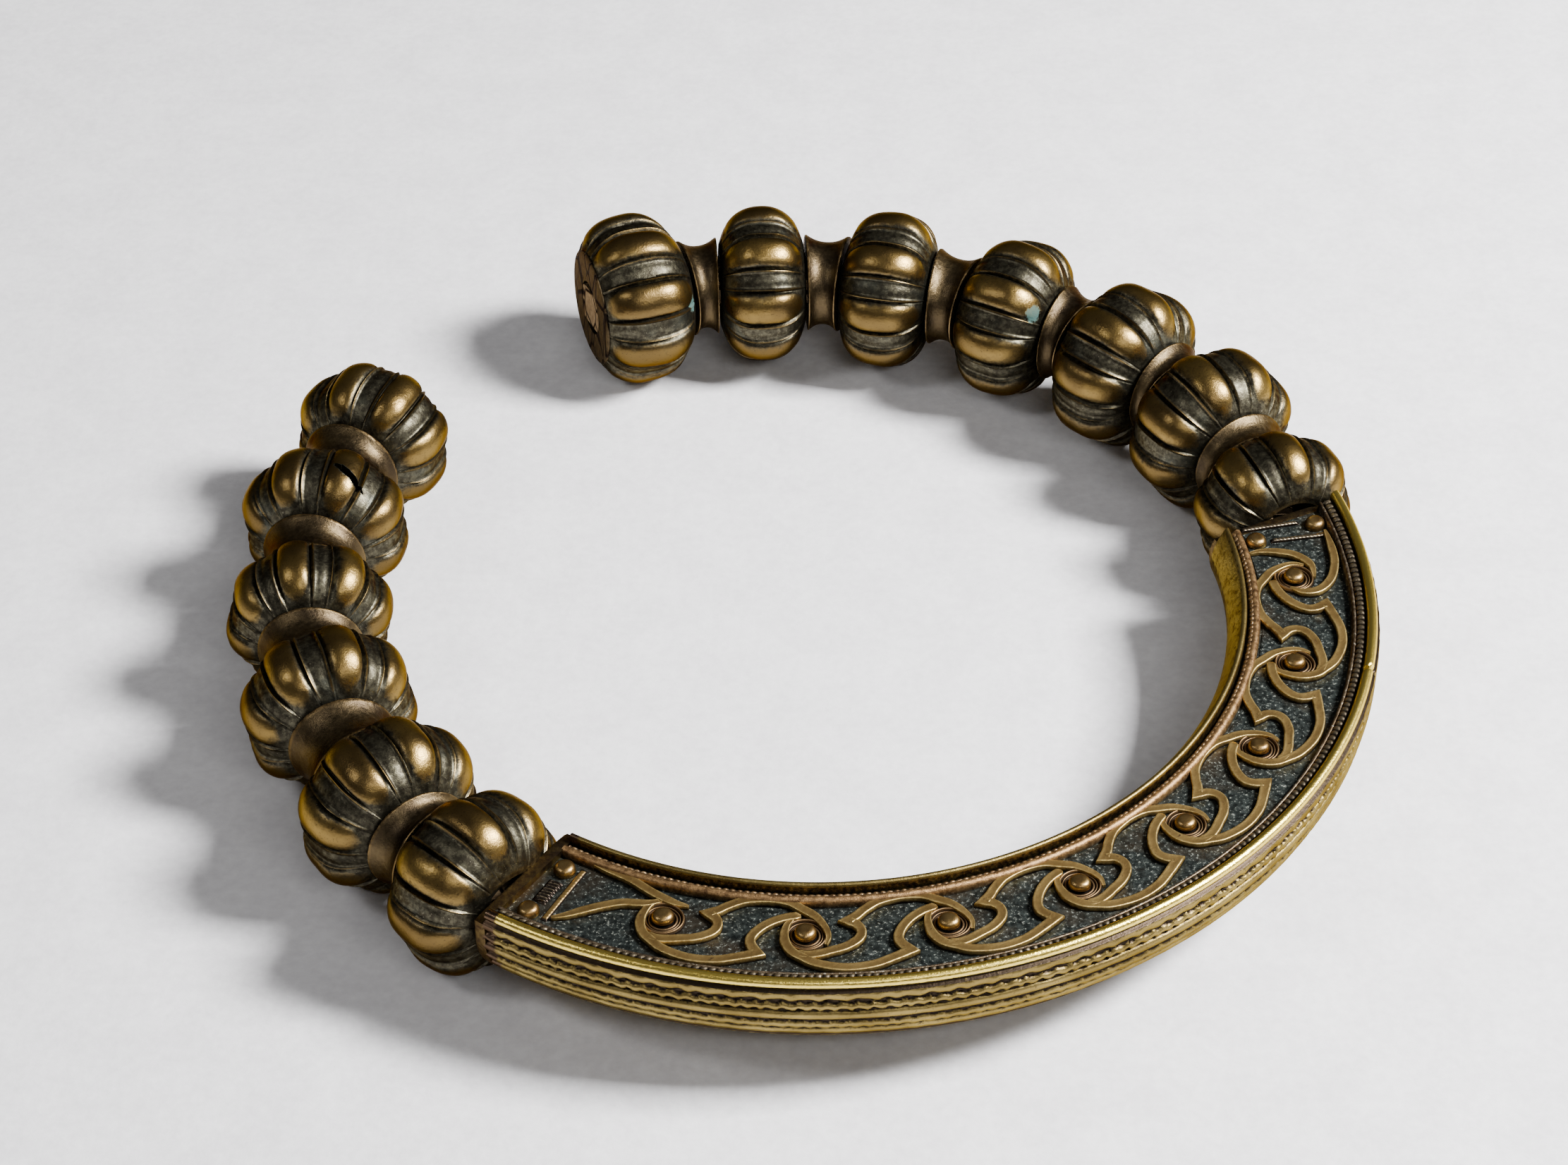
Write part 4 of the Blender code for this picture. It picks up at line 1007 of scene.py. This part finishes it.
# %% Band curves
BAND_WIDTH = 1.30
BAND_TOP = PLATE_TOP + 0.85
BAND_STEP = 0.28
OUTER_BAND = ((-1.25, -3.3), (-2.45, -1.4), (-2.6, 1.1), (-1.7, 3.1), (-0.3, 4.2), (1.55, 5.3), (4.7, 6.0),
              (7.8, 5.75), (10.3, 4.85), (12.65, 3.85))
OUTER_TAIL = ((12.65, 3.85), (11.75, 2.45), (11.6, 1.2), (12.35, -0.3), (13.75, -1.7), (15.6, -2.7),
              (17.7, -3.2))
INNER_BAND = ((-1.3, 3.4), (0.2, 3.75), (1.7, 3.5), (3.1, 3.0), (5.0, 2.3), (6.6, 1.1), (7.1, -0.15),
              (6.7, -1.35), (5.5, -2.2))
INNER_TAIL = ((5.5, -2.2), (6.7, -3.0), (7.9, -4.05), (10.0, -5.3), (13.1, -5.85), (15.9, -5.5), (17.8, -4.4),
              (19.7, -3.0), (20.9, -1.1), (21.25, 0.45), (20.9, 1.8))
LEFT_TENDRILS = (
    ((-0.9, -3.0), (-3.0, -1.7), (-5.8, -0.8), (-8.0, 0.75), (-9.9, 2.6), (-11.4, 4.2), (-12.7, 5.3)),
    ((2.6, -2.9), (0.4, -3.0), (-2.7, -3.8), (-6.4, -5.0), (-10.2, -5.5), (-14.2, -5.9)),
)
RIGHT_TENDRILS = (
    ((-2.2, -0.8), (-3.2, 1.0), (-2.75, 3.2), (-0.6, 5.1), (2.6, 6.2), (5.7, 6.5), (9.4, 6.6)),
    ((0.0, 2.9), (2.6, 2.75), (4.75, 1.0), (5.8, -1.5), (6.2, -3.7), (6.0, -5.25)),
)


def smooth_line(knots):
    """Points about a quarter of a millimetre apart on a curve through the knots: between two knots,
    the cubic whose slope at each is half the step between its neighbours."""
    p = np.array(knots, dtype=float)
    ends = np.vstack([2 * p[0] - p[1], p, 2 * p[-1] - p[-2]])
    dense = []
    for k in range(len(p) - 1):
        a, b, c, d = ends[k:k + 4]
        t = np.linspace(0, 1, 24, endpoint=False)[:, None]
        bend = (2 * a - 5 * b + 4 * c - d) * t ** 2
        twist = (3 * b - a - 3 * c + d) * t ** 3
        dense.append(0.5 * (2 * b + (c - a) * t + bend + twist))
    dense = np.vstack([*dense, p[-1:]])
    far = np.concatenate([[0], np.cumsum(np.linalg.norm(np.diff(dense, axis=0), axis=1))])
    wanted = np.linspace(0, far[-1], int(far[-1] / BAND_STEP) + 2)
    return np.stack([np.interp(wanted, far, dense[:, 0]), np.interp(wanted, far, dense[:, 1])], axis=1)


def band_shell(lines, boss_deg, width, top, thin_start=0.6, thin_end=0.6, corner=0.0):
    """A flat-topped band along one or two curves that meet in a corner: each point moves aside by
    half the width along the mean of its two neighbours' normals, further in the corner so that it
    comes to a point. The half-width is 0.3 + 0.7 * (distance / taper)^0.7 of the full one near an end
    that thins out."""
    line = np.vstack([lines[0]] + [more[1:] for more in lines[1:]])
    step = np.diff(line, axis=0)
    unit = step / np.linalg.norm(step, axis=1)[:, None]
    into = np.vstack([unit[:1], unit])
    out = np.vstack([unit, unit[-1:]])
    mean = into + out
    mean /= np.linalg.norm(mean, axis=1)[:, None]
    reach = 1 / np.clip((mean * into).sum(axis=1), 0.42, 1)
    normal = np.stack([-mean[:, 1], mean[:, 0]], axis=1) * reach[:, None]
    far = np.concatenate([[0], np.cumsum(np.linalg.norm(step, axis=1))])
    taper = np.minimum(np.clip(far / thin_start, 0, 1), np.clip((far[-1] - far) / thin_end, 0, 1)) ** 0.7
    swell = 1 + corner * np.exp(-((far - far[len(lines[0]) - 1]) / 1.6) ** 2)
    half = width / 2 * (0.3 + 0.7 * taper) * swell
    across = np.array((-1.05, -1.0, -0.93, -0.8, -0.6, -0.3, 0.0, 0.3, 0.6, 0.8, 0.93, 1.0, 1.05))
    up = np.array((0.0, 0.86, 0.96, 1.0, 0.985, 0.975, 0.97, 0.975, 0.985, 1.0, 0.96, 0.86, 0.0))
    # Painted highlight: 'worn' is highest on the two top edges, where the band metal paints a bright line.
    worn = np.array((0.0, 0.5, 1.0, 0.7, 0.15, 0.0, 0.0, 0.0, 0.15, 0.7, 1.0, 0.5, 0.0))
    x = line[:, :1] + across * half[:, None] * normal[:, :1]
    y = line[:, 1:] + across * half[:, None] * normal[:, 1:]
    low = PLATE_TOP - 0.3
    z = low + (top - low) * up * (0.80 + 0.20 * taper)[:, None]
    # Painted shadow: 'high' falls to 0 on the side walls, which the band metal paints near black.
    flat = np.broadcast_to(np.clip(up * 2.0 - 1.0, 0, 1), x.shape)
    points = tray_point(boss_deg + np.degrees(x / BOSS_CIRCLE), BOSS_CIRCLE + y, z)
    return grid_shell(points, "face", high=flat, worn=np.broadcast_to(worn, x.shape))


bands = []
outer = [smooth_line(OUTER_BAND), smooth_line(OUTER_TAIL)]
inner = [smooth_line(INNER_BAND), smooth_line(INNER_TAIL)]
for deg in boss_degs[:-1]:
    bands.append(band_shell(outer, deg, BAND_WIDTH, BAND_TOP, thin_start=5.0, corner=0.12))
    bands.append(band_shell(inner, deg, BAND_WIDTH, BAND_TOP - 0.02, thin_end=6.0, corner=0.12))
for deg, tendrils in ((boss_degs[0], LEFT_TENDRILS), (boss_degs[-1], RIGHT_TENDRILS)):
    for k, knots in enumerate(tendrils):
        line = smooth_line(knots)
        bands.append(band_shell([line], deg, BAND_WIDTH * 0.95, BAND_TOP - 0.03 * k,
                                thin_start=3.0, thin_end=4.0))
add_piece("scroll_bands", bands, band_metal, (), 42)

# %% [markdown]
# Low bars cross the plate near its ends, between the rivets or from border to border. Each is an
# arch carried along a radius, and the widest one is hatched with fine grooves.

# %% Cross bars
CROSS_BARS = ((239.79, 66.3, 70.7, 2.0, 0.50, 0.26), (241.64, 62.8, 73.2, 0.95, 0.30, 0.04),
              (370.01, 65.8, 74.3, 0.85, 0.42, 0.05), (372.71, 62.3, 70.9, 0.85, 0.42, 0.05))


def cross_bar(degrees, inner, outer, width, rise, hatch):
    """An arch rise * (1 - u^4) across the bar, cut by hatch * |sin| along it."""
    run = np.linspace(inner, outer, 90)[:, None]
    across = np.linspace(-1, 1, 13)[None, :]
    end = np.clip(np.minimum(run - inner, outer - run) / 0.5, 0, 1) ** 0.5
    grooves = hatch * np.abs(np.sin(np.pi * run / 0.55 + 1.2 * across))
    height = PLATE_TOP + (rise - grooves) * (1 - across ** 4) * end
    height = np.hstack([height, np.full((90, 2), PLATE_TOP - 0.3)])
    side = np.hstack([across, [[1.0, -1.0]]]) * width / 2 * np.ones_like(run)
    shape = tray_point(degrees + np.degrees(side / run), run, height)
    high = 0.62 * np.clip(((height - PLATE_TOP) / rise - 0.3) * 1.7, 0, 1)
    return grid_shell(shape, "face", high=high, worn=0 * high)


bars = [cross_bar(*bar) for bar in CROSS_BARS]
add_piece("hatched_bar", bars[:1], strip_metal, (), 50)
add_piece("copper_ridge", bars[1:2], band_metal, (), 50)
add_piece("grey_bars", bars[2:], strip_metal, (), 50)

# %% [markdown]
# Bosses and rivets: each boss is a set of thin rings round a small domed rivet, and two slightly
# larger rivets hold each end of the plate. All are outlines turned about an upright axis, each a
# little out of true.

# %% Ring and rivet metal
rivet_bronze, tree, shader = start_material("rivet_bronze")
place = place_of(tree)
blotch = grain(tree, place, 2.2, 4.0)
fine = grain(tree, place, 0.6, 6.0, 0.65)
colour = blend(tree, spread(tree, blotch, 0.35, 0.65), (0.33, 0.22, 0.085), (0.20, 0.12, 0.045))
fill_surface(tree, shader, colour, 0.34, 1.0)
bump(tree, shader, [(fine, 0.04)])
ring_metal, tree, shader = start_material("ring_metal")
place = place_of(tree)
fine = grain(tree, place, 0.7, 6.0, 0.65)
high = mark_of(tree, "high")
fill_surface(tree, shader, blend(tree, high, (0.020, 0.015, 0.012), (0.17, 0.105, 0.05)), 0.46, 0.95)
bump(tree, shader, [(fine, 0.05)])

# %% Bosses and rivets


def turned(degrees, circle, radii, heights, sides, seed, **marks):
    """An outline of radii and heights turned about an upright axis, a hair out of round."""
    rng = np.random.default_rng(seed)
    phi = np.linspace(0, 2 * np.pi, sides, endpoint=False)[None, :]
    oval = 0.015 * np.sin(2 * phi + rng.uniform(0, 6))
    three_sided = 0.01 * np.sin(3 * phi + rng.uniform(0, 6))
    r = radii[:, None] * (1 + oval + three_sided)
    middle = tray_point(degrees, circle, 0.0)
    z = heights[:, None] * np.ones_like(phi)
    points = np.stack([middle[0] + r * np.cos(phi), middle[1] + r * np.sin(phi), z], axis=-1)
    grids = {name: mark[:, None] * np.ones_like(phi) for name, mark in marks.items()}
    return grid_shell(points, "fan", **grids)


def ring_outline():
    """A disc of rings about the rivet: a flat ring, a thin one, and a wide outer one that the bands
    run into. Its height is the highest of three bells along the radius."""
    r = np.concatenate([[0.4], np.linspace(1.3, 2.86, 46), [2.92, 2.92, 0.4]])
    wavy = np.zeros(len(r))
    for middle, half, rise in ((1.78, 0.17, 0.7), (2.20, 0.11, 0.8), (2.62, 0.18, 1.0)):
        wavy = np.maximum(wavy, rise * np.exp(-((r - middle) / half) ** 4))
    z = PLATE_TOP + 0.08 + 0.34 * wavy + 0.18 * np.clip((r - 2.3) / 0.3, 0, 1)
    z[-3:] = (PLATE_TOP + 0.2, PLATE_TOP - 0.3, PLATE_TOP - 0.3)
    high = wavy.copy()
    high[-3:] = 0
    return r, z, high


def dome_outline(radius, rise, seat):
    """A low button, undercut at its foot, of height rise * (1 - (r / radius)^4)^0.5."""
    r = radius * np.sin(np.linspace(0.06, np.pi / 2, 20))
    z = seat + 0.12 + (rise - 0.12) * (1 - (r / radius) ** 4) ** 0.5
    foot = seat - 0.25
    return np.concatenate([r, [radius * 0.86, 0.7, 0.7]]), np.concatenate([z, [seat, foot, 3.0]])


def add_rivet(name, degrees, circle, radius, rise, seat, seed):
    r, z = dome_outline(radius, rise, seat)
    shell = turned(degrees, circle, r, z, 40, seed)
    add_piece("domed_" + name, [shell], rivet_bronze, (name,), 60)


rings = []
r, z, high = ring_outline()
for k, deg in enumerate(boss_degs):
    rings.append(turned(deg, BOSS_CIRCLE, r, z, 64, k, high=high))
add_piece("boss_rings", rings, ring_metal, (), 60)
for k, deg in enumerate(boss_degs):
    add_rivet(f"boss_rivet_{k + 1}", deg, BOSS_CIRCLE, 1.46, RIVET_RISE, PLATE_TOP + DISC_RISE, k + 30)
END_RIVETS = {"left_inner": (239.71, 64.20), "left_outer": (239.71, 72.80), "right_inner": (370.01, 63.70),
              "right_outer": (371.87, 73.00)}
for k, (end, (deg, circle)) in enumerate(END_RIVETS.items()):
    add_rivet(f"end_rivet_{end}", deg, circle, 1.48, 1.3, PLATE_TOP, k + 50)

# %% [markdown]
# Rods: a square bar runs through each string of beads. Only its end shows, in the last bead of the
# right arm. It is a square with softened corners carried along the arm's arc.

# %% Rods
def split_metal(name, pale, brown, cell_mm):
    """Rough worn metal whose dark splits are the thin borders of stretched Voronoi cells."""
    material, tree, shader = start_material(name)
    place = place_of(tree, (1.0, 2.0, 1.0))
    fine = grain(tree, place, 1.2, 6.0, 0.65)
    cells = add_node(tree, "ShaderNodeTexVoronoi", {"Vector": place, "Scale": 1000.0 / cell_mm},
                     feature="DISTANCE_TO_EDGE")
    split = spread(tree, cells.outputs["Distance"], 0.02, 0.07)
    colour = blend(tree, spread(tree, fine, 0.35, 0.65), pale, brown)
    fill_surface(tree, shader, blend(tree, split, (0.012, 0.009, 0.007), colour), 0.55, 0.95)
    bump(tree, shader, [(fine, 0.10), (split, 0.25)])
    return material


rod_metal = split_metal("rod_metal", (0.36, 0.26, 0.15), (0.17, 0.11, 0.06), 5.0)
face_metal = split_metal("face_metal", (0.10, 0.070, 0.036), (0.040, 0.030, 0.018), 6.5)
ROD_HALF = 2.4
ROD_WIDE = 3.2
ROD_INTO_TRAY = 7.0


def rod_surface(arm, steps=180):
    """A rounded square, |y|^6 + |z|^6 = half^6, carried along the arm's arc; in the right arm its
    last bit is hammered wider, and fills the hole in the last bead's face."""
    spec = ARMS[arm]
    rows = bead_rows(arm)
    first = spec["first_deg"] + spec["way"] * math.degrees((rows[0]["near"] - ROD_INTO_TRAY) / spec["radius"])
    last = rows[-1]["deg"] + spec["way"] * math.degrees(rows[-1]["far"] / spec["radius"])
    turn = np.radians(np.linspace(first, last, steps))[:, None]
    phi = np.linspace(0, 2 * np.pi, 32, endpoint=False)[None, :]
    left_over = np.abs(turn - turn[-1]) * spec["radius"]
    hammered = np.clip((1.6 - left_over) / 0.8, 0, 1) if arm == "right" else 0.0
    half = ROD_HALF + (ROD_WIDE - ROD_HALF) * hammered
    size = half / (np.abs(np.cos(phi)) ** 6 + np.abs(np.sin(phi)) ** 6) ** (1 / 6)
    reach = spec["radius"] + size * np.cos(phi)
    x = spec["centre"][0] + reach * np.cos(turn)
    y = spec["centre"][1] + reach * np.sin(turn)
    return np.stack([x, y, size * np.sin(phi) * np.ones_like(turn)], axis=-1)


last_row = bead_rows("right")[-1]
radii = np.array((ROD_WIDE + 1.05, 5.2, 6.4, 7.6, 8.6, 8.9, 8.9, ROD_WIDE + 1.05))[:, None]
depth = np.array((0.02, 0.05, 0.06, 0.06, 0.02, -0.15, -0.35, -0.35))[:, None] + last_row["far"]
phi = np.linspace(0, 2 * np.pi, 96, endpoint=False)[None, :]
wobble = 0.05 * np.sin(3 * phi + radii) * (depth > last_row["far"])
disc = np.stack([depth + wobble, radii * np.cos(phi), radii * np.sin(phi)], axis=-1)
shell = grid_shell(to_ring(disc, *bead_axes("right", last_row)), "loop")
add_piece("cracked_end_face", [shell], face_metal, (), 40)
for arm in ARMS:
    shell = grid_shell(rod_surface(arm), "face")
    add_piece(f"square_rod_{arm}", [shell], rod_metal, (f"rod_{arm}",), 40)
